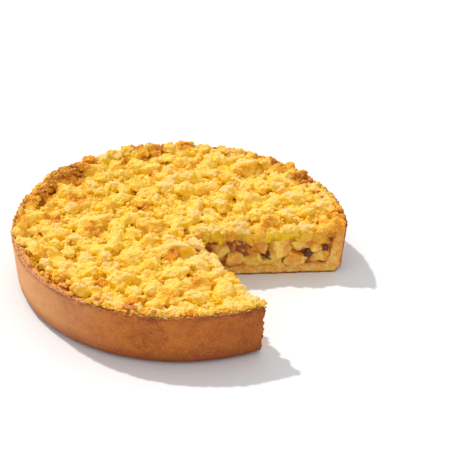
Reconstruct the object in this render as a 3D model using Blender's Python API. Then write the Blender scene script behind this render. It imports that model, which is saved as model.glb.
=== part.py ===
"""Apple crumble pie with one slice cut out and taken away.

A tapered shortcrust case holds a layer of apple pieces under a thick bed of crumble.
The origin is on the table, under the middle of the pie, and +Z is up.
The gap where the slice was opens towards +X and -Y, and shows all three layers.
"""

import math
import random

import bmesh
import bpy
from mathutils import Euler, Matrix, Vector, noise

# Pastry case, in metres
RIM_RADIUS = 0.130
RIM_HEIGHT = 0.0430
FOOT_RADIUS = 0.1258
FOOT_ROUND = 0.0070
FOOT_STEPS = 4
BASE_THICKNESS = 0.0070
WALL_AT_RIM = 0.0080
WALL_AT_BASE = 0.0115
WALL_RINGS = (0.45, 0.80)
RIM_FALL = 0.0022
RIM_BEVEL = 0.0012
INNER_CORNER = 0.0040
CASE_SEGMENTS = 72

# How far the pastry strays from a true circle, mostly near the rim
WALL_STRAY = 0.0008
RIM_WAVE = 0.0016
RIM_CRAGS = 0.0007

# Layers inside the case
FIT_GAP = 0.0003
FILLING_TOP = 0.0300
BED_TOP = 0.0375
BED_SEGMENTS = 48
BED_SWELL = 0.0022
BED_SWELLS_PER_METRE = 26.0
BED_FALL_AT_RIM = 0.0015
BED_FALL_AT_CUT = 0.0030
CUT_FALL_REACH = 0.0140

# Gap left by the slice: where its two cuts meet, and which way each runs
CUT_POINT = Vector((0.0080, -0.0085, 0.0))
NEAR_CUT_ANGLE = math.radians(-63.3)
FAR_CUT_ANGLE = math.radians(3.2)
CUTS = ((NEAR_CUT_ANGLE, -1.0), (FAR_CUT_ANGLE, 1.0))
CUTTER_REACH = 0.35
CUTTER_LOW = -0.02
CUTTER_HIGH = 0.09

# The clods that stand out most: x, y, half length, and turn in degrees
CLODS = (
    (-0.0875, 0.0502, 0.0098, 0), (-0.0947, -0.0068, 0.0112, 10), (-0.1100, 0.0157, 0.0078, 0),
    (-0.0715, 0.0040, 0.0126, 8), (-0.0785, -0.0185, 0.0082, 0), (-0.0469, -0.0150, 0.0092, 0),
    (-0.1020, -0.0380, 0.0104, -20), (-0.0850, -0.0580, 0.0100, 0), (-0.0652, -0.0610, 0.0102, 0),
    (-0.0425, -0.0770, 0.0122, 0), (-0.0230, 0.0030, 0.0112, 0), (-0.0010, 0.0090, 0.0110, 0),
    (-0.0045, -0.0371, 0.0142, 0), (-0.0050, -0.0676, 0.0114, 0), (0.0130, -0.0560, 0.0108, 0),
    (0.0325, -0.0900, 0.0116, 90), (0.0290, -0.0665, 0.0088, 0), (0.0114, -0.0810, 0.0106, 0),
    (0.0112, -0.0985, 0.0088, 0), (-0.0081, -0.1010, 0.0090, 0), (-0.0331, -0.1025, 0.0084, 0),
    (-0.0410, 0.1110, 0.0088, 0), (0.0030, 0.1170, 0.0090, 0), (0.0322, 0.1080, 0.0114, 0),
    (-0.0252, 0.0940, 0.0086, 0), (-0.0336, 0.0666, 0.0098, 60), (-0.0120, 0.0600, 0.0092, 0),
    (0.0090, 0.0780, 0.0100, 0), (0.0540, 0.0910, 0.0132, 25), (0.0790, 0.0880, 0.0084, 0),
    (0.1110, 0.0300, 0.0090, 0), (0.0712, 0.0095, 0.0092, 0), (0.0554, 0.0400, 0.0112, 0),
    (0.0900, 0.0420, 0.0100, 0), (-0.0930, 0.0720, 0.0094, 30), (-0.0710, 0.0910, 0.0098, 20),
    (-0.0500, 0.0860, 0.0090, 0), (-0.0571, 0.0310, 0.0094, 20), (-0.0600, -0.0355, 0.0098, 0),
    (-0.0310, -0.0420, 0.0094, 0),
)
CLOD_WIDTH = 0.76
CLOD_HEIGHT = 0.68
CLOD_LIFT = 0.0004

# Kinds of smaller lump: count, smallest and largest half width, how far apart they keep,
# and the least and greatest share of the height that the bed hides
LUMP_SEED = 11
LUMP_KINDS = (
    (66, 0.0054, 0.0078, 0.88, 0.50, 0.90),
    (26, 0.0040, 0.0052, 0.80, 0.40, 0.80),
)
LUMP_TRIES = 60
LUMP_LENGTH = (0.95, 1.25)
LUMP_WIDTH = (0.80, 1.00)
LUMP_HEIGHT = (0.62, 0.85)
LUMP_TILT = 0.5
BIG_LUMP = 0.0125
BALL_SWELL = 1.08
BALL_ROUGHNESS = 0.30
CRUMBLE_REACH = 0.1275
BED_RECESS = 0.0035

# Rows of lumps along the cuts and along the rim
CUT_LUMP_SIZES = (0.0042, 0.0072)
CUT_LUMP_PITCH = 0.0120
CUT_SINK = (0.9, 1.3)
RIM_LUMP_SIZES = (0.0046, 0.0070)
RIM_LUMP_PITCH = 0.0128
RIM_INWARDS = (0.75, 1.10)
RIM_SINK = (-0.12, 0.35)

# Stretch of the rim that stays bare, and how far the lumps stand back from it
BARE_RIM = (math.radians(195.0), math.radians(232.0))
BARE_RIM_WIDTH = 0.0050

# Apple pieces and raisins that show at the cuts
APPLE_SEED = 5
APPLE_PITCH = 0.0195
APPLE_COURSES = 2
APPLE_RECESS = 0.0030
APPLE_LENGTH = (0.0068, 0.0122)
APPLE_DEPTH = (0.0055, 0.0075)
APPLE_HEIGHT = (0.0044, 0.0078)
APPLE_TILT = 0.55
APPLE_CORNER = 0.28
RAISIN_HALF_SIZES = Vector((0.0046, 0.0034, 0.0032))
RAISIN_HEIGHT = 0.0235
RAISIN_REACHES = (0.046, 0.071, 0.098)

SMOOTH_CASE = 35.0
SMOOTH_FOOD = 27.0
TINY = 1e-5


def smooth_step(low, high, value):
    """0 below low, 1 above high, and an even slope between them."""
    share = min(1.0, max(0.0, (value - low) / (high - low)))
    return share * share * (3.0 - 2.0 * share)


def direction(angle):
    return Vector((math.cos(angle), math.sin(angle), 0.0))


def into_pie(angle, side):
    """Level, square to a cut, and pointing into the pie."""
    along = direction(angle)
    return Vector((-along.y, along.x, 0.0)) * side


def depth_behind_cut(x, y):
    """How far a place on the pie lies from the nearer cut. It is negative in the gap."""
    offset = Vector((x, y, 0.0)) - CUT_POINT
    depths = [(offset.dot(direction(angle)), offset.dot(into_pie(angle, side))) for angle, side in CUTS]
    if all(across < 0.0 for _, across in depths):
        return max(across for _, across in depths)
    return min(abs(across) if along > 0.0 else offset.length for along, across in depths)


def case_unevenness(angle, height):
    """How far hand-lined pastry strays outwards and upwards, growing towards the rim."""
    share = smooth_step(0.3 * RIM_HEIGHT, RIM_HEIGHT, height)
    circle = direction(angle)
    outwards = WALL_STRAY * noise.noise(circle * 1.7 + Vector((3.1, 0.0, 0.0)))
    upwards = RIM_WAVE * noise.noise(circle * 2.6 + Vector((0.0, 7.7, 0.0)))
    upwards += RIM_CRAGS * noise.noise(circle * 9.0 + Vector((5.0, 2.0, 0.0)))
    return share * outwards, share * upwards


def bed_height(x, y):
    """Top of the packed crumble under the lumps. It falls at the rim and at the cuts."""
    swell = noise.noise(Vector((x, y, 0.0)) * BED_SWELLS_PER_METRE)
    near_rim = smooth_step(CRUMBLE_REACH - 0.0155, CRUMBLE_REACH - 0.0015, math.hypot(x, y))
    near_cut = 1.0 - smooth_step(0.0, CUT_FALL_REACH, depth_behind_cut(x, y))
    return BED_TOP + BED_SWELL * swell - BED_FALL_AT_RIM * near_rim - BED_FALL_AT_CUT * near_cut


def inner_radius(height):
    """Inside face of the case wall, which leans outwards and is thicker near the base."""
    share = (height - BASE_THICKNESS) / (RIM_HEIGHT - BASE_THICKNESS)
    low = FOOT_RADIUS - WALL_AT_BASE
    return low + share * (RIM_RADIUS - WALL_AT_RIM - low)


def material(name, colour, roughness):
    made = bpy.data.materials.new(name)
    made.use_nodes = True
    surface = made.node_tree.nodes["Principled BSDF"]
    surface.inputs["Base Color"].default_value = (*colour, 1.0)
    surface.inputs["Roughness"].default_value = roughness
    surface.inputs["Metallic"].default_value = 0.0
    return made


def object_from(bm, name):
    mesh = bpy.data.meshes.new(name)
    bm.to_mesh(mesh)
    bm.free()
    made = bpy.data.objects.new(name, mesh)
    bpy.context.scene.collection.objects.link(made)
    return made


def turned_solid(name, profile, segments):
    """A profile of (radius, height) points, from axis to axis, spun into a closed solid."""
    bm = bmesh.new()
    points = [bm.verts.new((radius, 0.0, height)) for radius, height in profile]
    edges = [bm.edges.new(pair) for pair in zip(points, points[1:])]
    bmesh.ops.spin(
        bm,
        geom=points + edges,
        axis=(0.0, 0.0, 1.0),
        cent=(0.0, 0.0, 0.0),
        angle=math.tau,
        steps=segments,
        use_merge=True,
    )
    bmesh.ops.remove_doubles(bm, verts=bm.verts, dist=TINY)
    bmesh.ops.recalc_face_normals(bm, faces=bm.faces)
    return object_from(bm, name)


def make_uneven(solid):
    """Moves a turned case's points by the pastry's unevenness."""
    for vertex in solid.data.vertices:
        x, y, z = vertex.co
        radius = math.hypot(x, y)
        if radius < TINY:
            continue
        angle = math.atan2(y, x)
        outwards, upwards = case_unevenness(angle, z)
        vertex.co = Vector((0.0, 0.0, z + upwards)) + direction(angle) * (radius + outwards)


def wedge_cutter(name, recess):
    """The slice's prism. A recess moves both of its faces that far into the pie."""
    half_angle = 0.5 * (FAR_CUT_ANGLE - NEAR_CUT_ANGLE)
    middle = direction(0.5 * (FAR_CUT_ANGLE + NEAR_CUT_ANGLE))
    corner = CUT_POINT - middle * (recess / math.sin(half_angle))
    bm = bmesh.new()
    outline = [corner]
    outline += [corner + direction(angle) * CUTTER_REACH for angle, _ in CUTS]
    floor = bm.faces.new([bm.verts.new((*point.xy, CUTTER_LOW)) for point in outline])
    top = bmesh.ops.extrude_face_region(bm, geom=[floor])["geom"]
    raised = [item for item in top if isinstance(item, bmesh.types.BMVert)]
    bmesh.ops.translate(bm, verts=raised, vec=(0.0, 0.0, CUTTER_HIGH - CUTTER_LOW))
    bmesh.ops.recalc_face_normals(bm, faces=bm.faces)
    return object_from(bm, name)


def slab_cutter(name, low, high):
    """A square slab, wider than the pie, between two heights."""
    bm = bmesh.new()
    bmesh.ops.create_cube(bm, size=1.0)
    width = 3.0 * RIM_RADIUS
    bmesh.ops.scale(bm, verts=bm.verts, vec=(width, width, high - low))
    bmesh.ops.translate(bm, verts=bm.verts, vec=(0.0, 0.0, 0.5 * (high + low)))
    return object_from(bm, name)


def apply_modifiers(solid):
    graph = bpy.context.evaluated_depsgraph_get()
    finished = bpy.data.meshes.new_from_object(solid.evaluated_get(graph))
    solid.modifiers.clear()
    solid.data = finished


def cut(solid, cutter):
    """Takes the cutter out of the solid, and removes the cutter."""
    step = solid.modifiers.new("cut", "BOOLEAN")
    step.operation = "DIFFERENCE"
    step.solver = "MANIFOLD"
    step.object = cutter
    apply_modifiers(solid)
    bpy.data.objects.remove(cutter)


def fuse(solid, pieces):
    """Joins the pieces to the solid with one union, and removes them."""
    group = bpy.data.collections.new(solid.name + "_pieces")
    bpy.context.scene.collection.children.link(group)
    for piece in pieces:
        bpy.context.scene.collection.objects.unlink(piece)
        group.objects.link(piece)
    step = solid.modifiers.new("fuse", "BOOLEAN")
    step.operation = "UNION"
    step.solver = "MANIFOLD"
    step.operand_type = "COLLECTION"
    step.collection = group
    apply_modifiers(solid)
    for piece in pieces:
        bpy.data.objects.remove(piece)
    bpy.data.collections.remove(group)


def connected_points(start, left):
    """The points that edges join to the start. They are taken off the set of those left."""
    shell = {start}
    front = [start]
    while front:
        vertex = front.pop()
        reached = {edge.other_vert(vertex) for edge in vertex.link_edges} & left
        left -= reached
        shell |= reached
        front.extend(reached)
    return shell


def keep_main_body(solid):
    """Drops loose scraps and fills sealed hollows: only the shell with most points stays."""
    bm = bmesh.new()
    bm.from_mesh(solid.data)
    left = set(bm.verts)
    shells = []
    while left:
        shells.append(connected_points(left.pop(), left))
    shells.sort(key=len)
    loose = [vertex for shell in shells[:-1] for vertex in shell]
    bmesh.ops.delete(bm, geom=loose, context="VERTS")
    bm.to_mesh(solid.data)
    bm.free()


def finish(solid, surface, smooth_angle):
    solid.data.materials.clear()
    solid.data.materials.append(surface)
    solid.data.shade_smooth()
    solid.data.set_sharp_from_angle(angle=math.radians(smooth_angle))


def case_profile(clearance):
    """Cross-section of the pastry case. A clearance grows it into the layers it holds."""
    outline = [(0.0, 0.0), (FOOT_RADIUS - FOOT_ROUND, 0.0)]
    for step in range(1, FOOT_STEPS + 1):
        turn = 0.5 * math.pi * step / FOOT_STEPS
        across = FOOT_RADIUS - FOOT_ROUND + FOOT_ROUND * math.sin(turn)
        outline.append((across, FOOT_ROUND * (1.0 - math.cos(turn))))
    lean = (RIM_RADIUS - FOOT_RADIUS) / (RIM_HEIGHT - FOOT_ROUND)
    for share in WALL_RINGS:
        height = RIM_HEIGHT * share
        outline.append((FOOT_RADIUS + lean * (height - FOOT_ROUND), height))
    inside = inner_radius(RIM_HEIGHT) - clearance
    corner_height = BASE_THICKNESS + INNER_CORNER
    outline += [
        (RIM_RADIUS, RIM_HEIGHT - RIM_BEVEL),
        (RIM_RADIUS - RIM_BEVEL, RIM_HEIGHT + clearance),
        (inside + 0.4 * WALL_AT_RIM, RIM_HEIGHT - 0.5 * RIM_FALL + clearance),
        (inside, RIM_HEIGHT - RIM_FALL + clearance),
        (inner_radius(corner_height) - clearance, corner_height),
        (inner_radius(BASE_THICKNESS) - INNER_CORNER, BASE_THICKNESS + clearance),
        (0.0, BASE_THICKNESS + clearance),
    ]
    return outline


def make_case(surface):
    case = turned_solid("crust", case_profile(0.0), CASE_SEGMENTS)
    make_uneven(case)
    cut(case, wedge_cutter("slice_cutter", 0.0))
    finish(case, surface, SMOOTH_CASE)
    return case


def case_clearance(name):
    """The whole case grown by the fitting gap, to trim what it holds."""
    grown = turned_solid(name, case_profile(FIT_GAP), CASE_SEGMENTS)
    make_uneven(grown)
    return grown


def layer_profile(low, high):
    """A layer that reaches a little way into the case wall between two heights."""
    overlap = 0.5 * WALL_AT_RIM
    return [
        (0.0, low),
        (inner_radius(low) + overlap, low),
        (inner_radius(high) + overlap, high),
        (0.5 * RIM_RADIUS, high),
        (0.0, high),
    ]


def placed(bm, name, place, half_sizes, turn):
    """Sizes, turns and moves a piece made at the origin, about 1 unit to each side."""
    shape = Matrix.Translation(place) @ turn.to_matrix().to_4x4() @ Matrix.Diagonal((*half_sizes, 1.0))
    bmesh.ops.transform(bm, matrix=shape, verts=bm.verts)
    return object_from(bm, name)


def rough_ball(place, half_sizes, turn):
    """A ball of few sides, pushed in and out so that no two are alike."""
    bm = bmesh.new()
    detail = 2 if max(half_sizes) > BIG_LUMP else 1
    bmesh.ops.create_icosphere(bm, subdivisions=detail, radius=1.0)
    for vertex in bm.verts:
        push = noise.noise(vertex.co * 1.3 + place * 900.0)
        vertex.co *= BALL_SWELL + BALL_ROUGHNESS * push
    return placed(bm, "lump", place, half_sizes, turn)


def lump_at(draw, x, y, half_width, sink):
    """One lump: its middle, half sizes and turn. The sink is the share that the bed hides."""
    half_sizes = Vector((
        half_width * draw.uniform(*LUMP_LENGTH),
        half_width * draw.uniform(*LUMP_WIDTH),
        half_width * draw.uniform(*LUMP_HEIGHT),
    ))
    height = bed_height(x, y) + half_sizes.z * (1.0 - sink)
    tilts = [draw.uniform(-LUMP_TILT, LUMP_TILT) for _ in range(2)]
    return Vector((x, y, height)), half_sizes, Euler((*tilts, draw.uniform(0.0, math.tau)))


def cut_lumps(draw):
    """A row of lumps along each cut, so that the crumble's broken edge shows."""
    lumps = []
    for angle, side in CUTS:
        reached = 0.5 * CUT_LUMP_PITCH
        while True:
            half_width = draw.uniform(*CUT_LUMP_SIZES)
            inwards = half_width * draw.uniform(0.75, 1.1)
            place = CUT_POINT + direction(angle) * reached + into_pie(angle, side) * inwards
            if place.length > CRUMBLE_REACH - CUT_LUMP_SIZES[1]:
                break
            lumps.append(lump_at(draw, place.x, place.y, half_width, draw.uniform(*CUT_SINK)))
            reached += CUT_LUMP_PITCH * draw.uniform(0.8, 1.2)
    return lumps


def main_clods():
    """The largest clods, each standing on the bed with its lower half in it."""
    clods = []
    for x, y, half_length, turn in CLODS:
        half_sizes = Vector((half_length, half_length * CLOD_WIDTH, half_length * CLOD_HEIGHT))
        place = Vector((x, y, bed_height(x, y) + CLOD_LIFT))
        clods.append((place, half_sizes, Euler((0.0, 0.0, math.radians(turn)))))
    return clods


def rim_lumps(draw):
    """A row of lumps that lie against the rim and partly over it."""
    lumps = []
    count = int(math.tau * CRUMBLE_REACH / RIM_LUMP_PITCH)
    for step in range(count):
        angle = math.tau * (step + draw.uniform(-0.3, 0.3)) / count
        half_width = draw.uniform(*RIM_LUMP_SIZES)
        inwards = half_width * draw.uniform(*RIM_INWARDS)
        if BARE_RIM[0] < angle < BARE_RIM[1]:
            inwards += BARE_RIM_WIDTH
        place = direction(angle) * (CRUMBLE_REACH - inwards)
        lump = lump_at(draw, place.x, place.y, half_width, draw.uniform(*RIM_SINK))
        if depth_behind_cut(place.x, place.y) > half_width * 0.8:
            lumps.append(lump)
    return lumps


def field_lumps(draw, taken):
    """Lumps all over the bed, largest first, none too near another or a cut."""
    lumps = []
    spots = [(place.xy, max(half_sizes) * 0.6) for place, half_sizes, _ in taken]
    for count, smallest, largest, keep_apart, *sinks in LUMP_KINDS:
        made = 0
        for _ in range(count * LUMP_TRIES):
            if made == count:
                break
            here = Vector([draw.uniform(-CRUMBLE_REACH, CRUMBLE_REACH) for _ in range(2)])
            half_width = draw.uniform(smallest, largest)
            if here.length > CRUMBLE_REACH - half_width * 1.1:
                continue
            if depth_behind_cut(*here) < half_width * 0.9:
                continue
            if any((here - spot).length < keep_apart * (half_width + size) for spot, size in spots):
                continue
            lumps.append(lump_at(draw, *here, half_width, draw.uniform(*sinks)))
            spots.append((here, half_width))
            made += 1
    return lumps


def make_crumble(surface):
    """The bed and its lumps are one solid, trimmed clear of the case and the filling."""
    crumble = turned_solid("crumble", layer_profile(FILLING_TOP - 0.004, BED_TOP), BED_SEGMENTS)
    for vertex in crumble.data.vertices:
        if vertex.co.z > FILLING_TOP:
            vertex.co.z = bed_height(vertex.co.x, vertex.co.y)
    cut(crumble, wedge_cutter("bed_cutter", BED_RECESS))
    draw = random.Random(LUMP_SEED)
    lumps = main_clods() + cut_lumps(draw) + rim_lumps(draw)
    lumps += field_lumps(draw, lumps)
    fuse(crumble, [rough_ball(*lump) for lump in lumps])
    cut(crumble, case_clearance("case_cutter"))
    cut(crumble, slab_cutter("filling_cutter", -0.01, FILLING_TOP + FIT_GAP))
    keep_main_body(crumble)
    finish(crumble, surface, SMOOTH_FOOD)
    return crumble


def apple_piece(place, half_sizes, turn, draw):
    """A cooked apple chunk: a block with blunted edges, its corners drawn in unevenly."""
    bm = bmesh.new()
    bmesh.ops.create_cube(bm, size=2.0)
    for vertex in bm.verts:
        vertex.co *= draw.uniform(0.78, 1.0)
    bmesh.ops.bevel(bm, geom=bm.edges, offset=APPLE_CORNER, segments=1, affect="EDGES")
    return placed(bm, "apple", place, half_sizes, turn)


def apple_courses(draw):
    """Apple pieces in two rough courses along each cut, their faces near the cut's plane."""
    pieces = []
    course_height = (FILLING_TOP - BASE_THICKNESS) / APPLE_COURSES
    for angle, side in CUTS:
        for course in range(APPLE_COURSES):
            reached = 0.010 + 0.5 * APPLE_PITCH * course
            while True:
                sizes = Vector([draw.uniform(*span) for span in (APPLE_LENGTH, APPLE_DEPTH, APPLE_HEIGHT)])
                inwards = sizes.y + draw.uniform(-0.0010, 0.0015)
                place = CUT_POINT + direction(angle) * reached + into_pie(angle, side) * inwards
                place.z = BASE_THICKNESS + course_height * (course + draw.uniform(0.35, 0.65))
                if place.length > inner_radius(place.z) - 0.003:
                    break
                turn = Euler((0.0, draw.uniform(-APPLE_TILT, APPLE_TILT), angle))
                pieces.append(apple_piece(place, sizes, turn, draw))
                reached += APPLE_PITCH * draw.uniform(0.85, 1.15)
    return pieces


def raisins():
    """A few soaked raisins near the top of the filling, at both cuts."""
    pieces = []
    for angle, side in CUTS:
        for reach in RAISIN_REACHES:
            inwards = into_pie(angle, side) * (0.5 * RAISIN_HALF_SIZES.y)
            place = CUT_POINT + direction(angle) * reach + inwards
            place.z = RAISIN_HEIGHT
            pieces.append(rough_ball(place, RAISIN_HALF_SIZES, Euler((0.0, 0.3 * side, angle))))
    return pieces


def make_filling(surface):
    """The apple layer runs through the pie, and its pieces stand out at the cuts."""
    low = BASE_THICKNESS - 0.001
    filling = turned_solid("apple_filling", layer_profile(low, FILLING_TOP + 0.002), BED_SEGMENTS)
    cut(filling, wedge_cutter("filling_slice_cutter", APPLE_RECESS))
    fuse(filling, apple_courses(random.Random(APPLE_SEED)) + raisins())
    cut(filling, case_clearance("case_cutter"))
    cut(filling, slab_cutter("crumble_cutter", FILLING_TOP, FILLING_TOP + 0.02))
    keep_main_body(filling)
    finish(filling, surface, SMOOTH_FOOD)
    return filling


def main():
    for leftover in list(bpy.data.objects):
        bpy.data.objects.remove(leftover)
    make_case(material("baked_pastry", (0.58, 0.30, 0.12), 0.75))
    make_filling(material("cooked_apple", (0.70, 0.50, 0.20), 0.35))
    make_crumble(material("butter_crumble", (0.93, 0.66, 0.20), 0.85))


main()
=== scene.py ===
# %% [markdown]
# Apple crumble pie with one slice taken out.
# The finished pie is a tapered shortcrust case, a layer of soft apple pieces and a thick, lumpy
# crumble that was baked until its tips turned golden. A wedge is missing, so all three layers show.
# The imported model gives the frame: three plain solids at their real size, in metres. Each cell below
# builds one piece of the real surface in the same place, and the plain solid is then hidden.

# %% Load the frame
import math
import random

import bmesh
import bpy
import numpy as np
from mathutils import Euler, Matrix, Vector, noise


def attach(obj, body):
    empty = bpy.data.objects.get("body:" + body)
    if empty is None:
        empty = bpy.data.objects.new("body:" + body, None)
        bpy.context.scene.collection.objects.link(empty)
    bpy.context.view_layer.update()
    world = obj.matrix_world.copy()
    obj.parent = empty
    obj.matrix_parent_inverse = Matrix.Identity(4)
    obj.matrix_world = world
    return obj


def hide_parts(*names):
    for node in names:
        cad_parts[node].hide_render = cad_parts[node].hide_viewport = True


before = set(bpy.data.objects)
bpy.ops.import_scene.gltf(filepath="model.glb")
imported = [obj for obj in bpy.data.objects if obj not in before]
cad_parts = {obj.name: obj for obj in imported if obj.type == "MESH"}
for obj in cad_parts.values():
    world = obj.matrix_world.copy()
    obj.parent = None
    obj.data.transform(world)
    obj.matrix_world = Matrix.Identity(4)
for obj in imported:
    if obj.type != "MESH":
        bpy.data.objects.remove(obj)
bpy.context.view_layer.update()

# %% [markdown]
# The main sizes are the pie's own: the case narrows towards its foot, its wall is thicker at the base,
# and the two cuts of the missing slice meet a little off the middle. Everything else is worked out
# from these values, so a change here moves every piece with it.

# %% Sizes of the pie
RIM_RADIUS = 0.130
RIM_HEIGHT = 0.0430
FOOT_RADIUS = 0.1258
FOOT_ROUND = 0.0070
BASE_THICKNESS = 0.0070
WALL_AT_RIM = 0.0080
WALL_AT_BASE = 0.0115
RIM_FALL = 0.0022
FILLING_TOP = 0.0300
BED_TOP = 0.0375
CRUMBLE_REACH = 0.1275
CUT_POINT = Vector((0.0080, -0.0085, 0.0))
NEAR_CUT_ANGLE = math.radians(-63.3)
FAR_CUT_ANGLE = math.radians(3.2)
CUTS = ((NEAR_CUT_ANGLE, -1.0), (FAR_CUT_ANGLE, 1.0))


def direction(angle):
    return Vector((math.cos(angle), math.sin(angle), 0.0))


def into_pie(angle, side):
    """Level, square to a cut, and pointing into the pie."""
    along = direction(angle)
    return Vector((-along.y, along.x, 0.0)) * side


def smooth_step(low, high, value):
    share = min(1.0, max(0.0, (value - low) / (high - low)))
    return share * share * (3.0 - 2.0 * share)


def inner_radius(height):
    """Inside face of the case wall."""
    share = (height - BASE_THICKNESS) / (RIM_HEIGHT - BASE_THICKNESS)
    low = FOOT_RADIUS - WALL_AT_BASE
    return low + share * (RIM_RADIUS - WALL_AT_RIM - low)


def outer_radius(height):
    """Outside face of the case wall."""
    return FOOT_RADIUS + (RIM_RADIUS - FOOT_RADIUS) * height / RIM_HEIGHT


def depth_behind_cut(x, y):
    """How far a place on the pie lies from the nearer cut. It is negative in the gap."""
    offset = Vector((x, y, 0.0)) - CUT_POINT
    depths = [(offset.dot(direction(angle)), offset.dot(into_pie(angle, side))) for angle, side in CUTS]
    if all(across < 0.0 for _, across in depths):
        return max(across for _, across in depths)
    return min(abs(across) if along > 0.0 else offset.length for along, across in depths)


def depths_behind_cut(points):
    """The same for a whole array of points, but positive on both sides of a cut."""
    offsets = points[:, :2] - np.array(CUT_POINT.xy)
    reach = np.hypot(offsets[:, 0], offsets[:, 1])
    nearest = reach.copy()
    for angle, side in CUTS:
        along = offsets @ np.array(direction(angle).xy)
        across = np.abs(offsets @ np.array(into_pie(angle, side).xy))
        nearest = np.minimum(nearest, np.where(along > 0.0, across, reach))
    return nearest


print("the gap takes", round(math.degrees(FAR_CUT_ANGLE - NEAR_CUT_ANGLE), 1), "degrees of the pie")

# %% [markdown]
# The photographer stood a little over a metre away with a long lens and looked down at about a third
# of a right angle. The pie sits left of and below the middle of the picture. The camera is therefore
# aimed at the pie and then turned a little to the right and up, which needs no lens shift.

# %% Camera
CAMERA_DISTANCE = 1.2
CAMERA_HEIGHT_ANGLE = math.radians(32.73)
CAMERA_LENS = 121.9
TURN_RIGHT = math.radians(1.68)
TURN_UP = math.radians(1.71)

camera = bpy.data.objects.new("camera", bpy.data.cameras.new("camera"))
bpy.context.scene.collection.objects.link(camera)
camera.data.lens = CAMERA_LENS
camera.data.sensor_width = 36.0
camera.data.clip_start = 0.05
camera.location = (
    0.0,
    -CAMERA_DISTANCE * math.cos(CAMERA_HEIGHT_ANGLE),
    CAMERA_DISTANCE * math.sin(CAMERA_HEIGHT_ANGLE),
)
aimed = (-camera.location).to_track_quat("-Z", "Y")
camera.rotation_euler = (aimed @ Euler((TURN_UP, -TURN_RIGHT, 0.0)).to_quaternion()).to_euler()
bpy.context.scene.camera = camera
print("camera stands at", [round(value, 3) for value in camera.location])

# %% [markdown]
# The light comes from the left and from behind, so the shadow falls to the front right and the far
# cut stays in the shade. A small sun gives the crisp crumbs their shape. A pale sky fills the shadows,
# and the white floor throws light back onto the crust. The plain view transform keeps whites white.

# %% Light and floor
SUN_FROM = Vector((-0.55, 0.52, 1.0))
SUN_STRENGTH = 2.30
SUN_SPREAD = math.radians(2.5)
SUN_COLOUR = (1.0, 0.985, 0.96)
SKY_STRENGTH = 0.86
SKY_COLOUR = (0.97, 0.98, 1.0, 1.0)
PAPER_SIZE = 8.0
PAPER_WHITE = (0.78, 0.78, 0.78, 1.0)
PAPER_ROUGHNESS = 0.9

scene = bpy.context.scene
scene.view_settings.view_transform = "Standard"
scene.view_settings.look = "None"

sun = bpy.data.objects.new("sun", bpy.data.lights.new("sun", "SUN"))
scene.collection.objects.link(sun)
sun.data.energy = SUN_STRENGTH
sun.data.angle = SUN_SPREAD
sun.data.color = SUN_COLOUR
sun.rotation_euler = SUN_FROM.to_track_quat("Z", "Y").to_euler()

sky = bpy.data.worlds.new("sky")
scene.world = sky
sky.use_nodes = True
background = sky.node_tree.nodes["Background"]
background.inputs["Color"].default_value = SKY_COLOUR
background.inputs["Strength"].default_value = SKY_STRENGTH

bpy.ops.object.select_all(action="DESELECT")
bpy.ops.mesh.primitive_plane_add(size=PAPER_SIZE, location=(0.0, 0.0, 0.0))
floor = bpy.context.object
floor.name = "floor"
paper = bpy.data.materials.new("white_paper")
paper.use_nodes = True
sheet = paper.node_tree.nodes["Principled BSDF"]
sheet.inputs["Base Color"].default_value = PAPER_WHITE
sheet.inputs["Roughness"].default_value = PAPER_ROUGHNESS
floor.data.materials.append(paper)
print("sun comes from", [round(value, 2) for value in SUN_FROM.normalized()])

# %% [markdown]
# Some helpers for the hands. Each modelling step acts on what is selected, so a piece is always
# selected alone first. A modifier is added, set and applied in one go, which leaves a plain mesh.

# %% Helpers for modelling


def select_only(piece):
    bpy.ops.object.select_all(action="DESELECT")
    piece.select_set(True)
    bpy.context.view_layer.objects.active = piece


def new_piece(name, add, **settings):
    """Adds a simple form with one of Blender's add operators and applies its place and size."""
    bpy.ops.object.select_all(action="DESELECT")
    add(**settings)
    piece = bpy.context.object
    piece.name = name
    bpy.ops.object.transform_apply(location=True, rotation=True, scale=True)
    return piece


def modify(piece, kind, **settings):
    """Adds a modifier, sets it and applies it."""
    step = piece.modifiers.new(kind.lower(), kind)
    for name, value in settings.items():
        setattr(step, name, value)
    select_only(piece)
    bpy.ops.object.modifier_apply(modifier=step.name)


def relief(name, kind, size, **settings):
    """A texture that pushes a surface in and out. The size is that of its bumps, in metres."""
    texture = bpy.data.textures.new(name, kind)
    texture.noise_scale = size
    for key, value in settings.items():
        setattr(texture, key, value)
    return texture


def push(piece, texture, strength, group="", middle=0.5):
    """Moves the surface along its normals by a texture, where the group's weight lets it."""
    modify(
        piece,
        "DISPLACE",
        texture=texture,
        texture_coords="LOCAL",
        strength=strength,
        mid_level=middle,
        vertex_group=group,
    )


def points_of(piece):
    flat = np.empty(3 * len(piece.data.vertices), np.float32)
    piece.data.vertices.foreach_get("co", flat)
    return flat.reshape(-1, 3).astype(float)


def set_points(piece, points):
    piece.data.vertices.foreach_set("co", points.astype(np.float32).ravel())
    piece.data.update()


def normals_of(piece):
    flat = np.empty(3 * len(piece.data.vertices), np.float32)
    piece.data.vertex_normals.foreach_get("vector", flat)
    return flat.reshape(-1, 3).astype(float)


def radii_of(points):
    return np.hypot(points[:, 0], points[:, 1])


def fade(low, high, values):
    """The smooth step for a whole array of values."""
    share = np.clip((values - low) / (high - low), 0.0, 1.0)
    return share * share * (3.0 - 2.0 * share)


def weigh(piece, name, weights):
    """A vertex group with one weight for each point."""
    group = piece.vertex_groups.new(name=name)
    for index, weight in enumerate(weights):
        if weight > 0.001:
            group.add([index], float(weight), "REPLACE")
    return name


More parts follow.
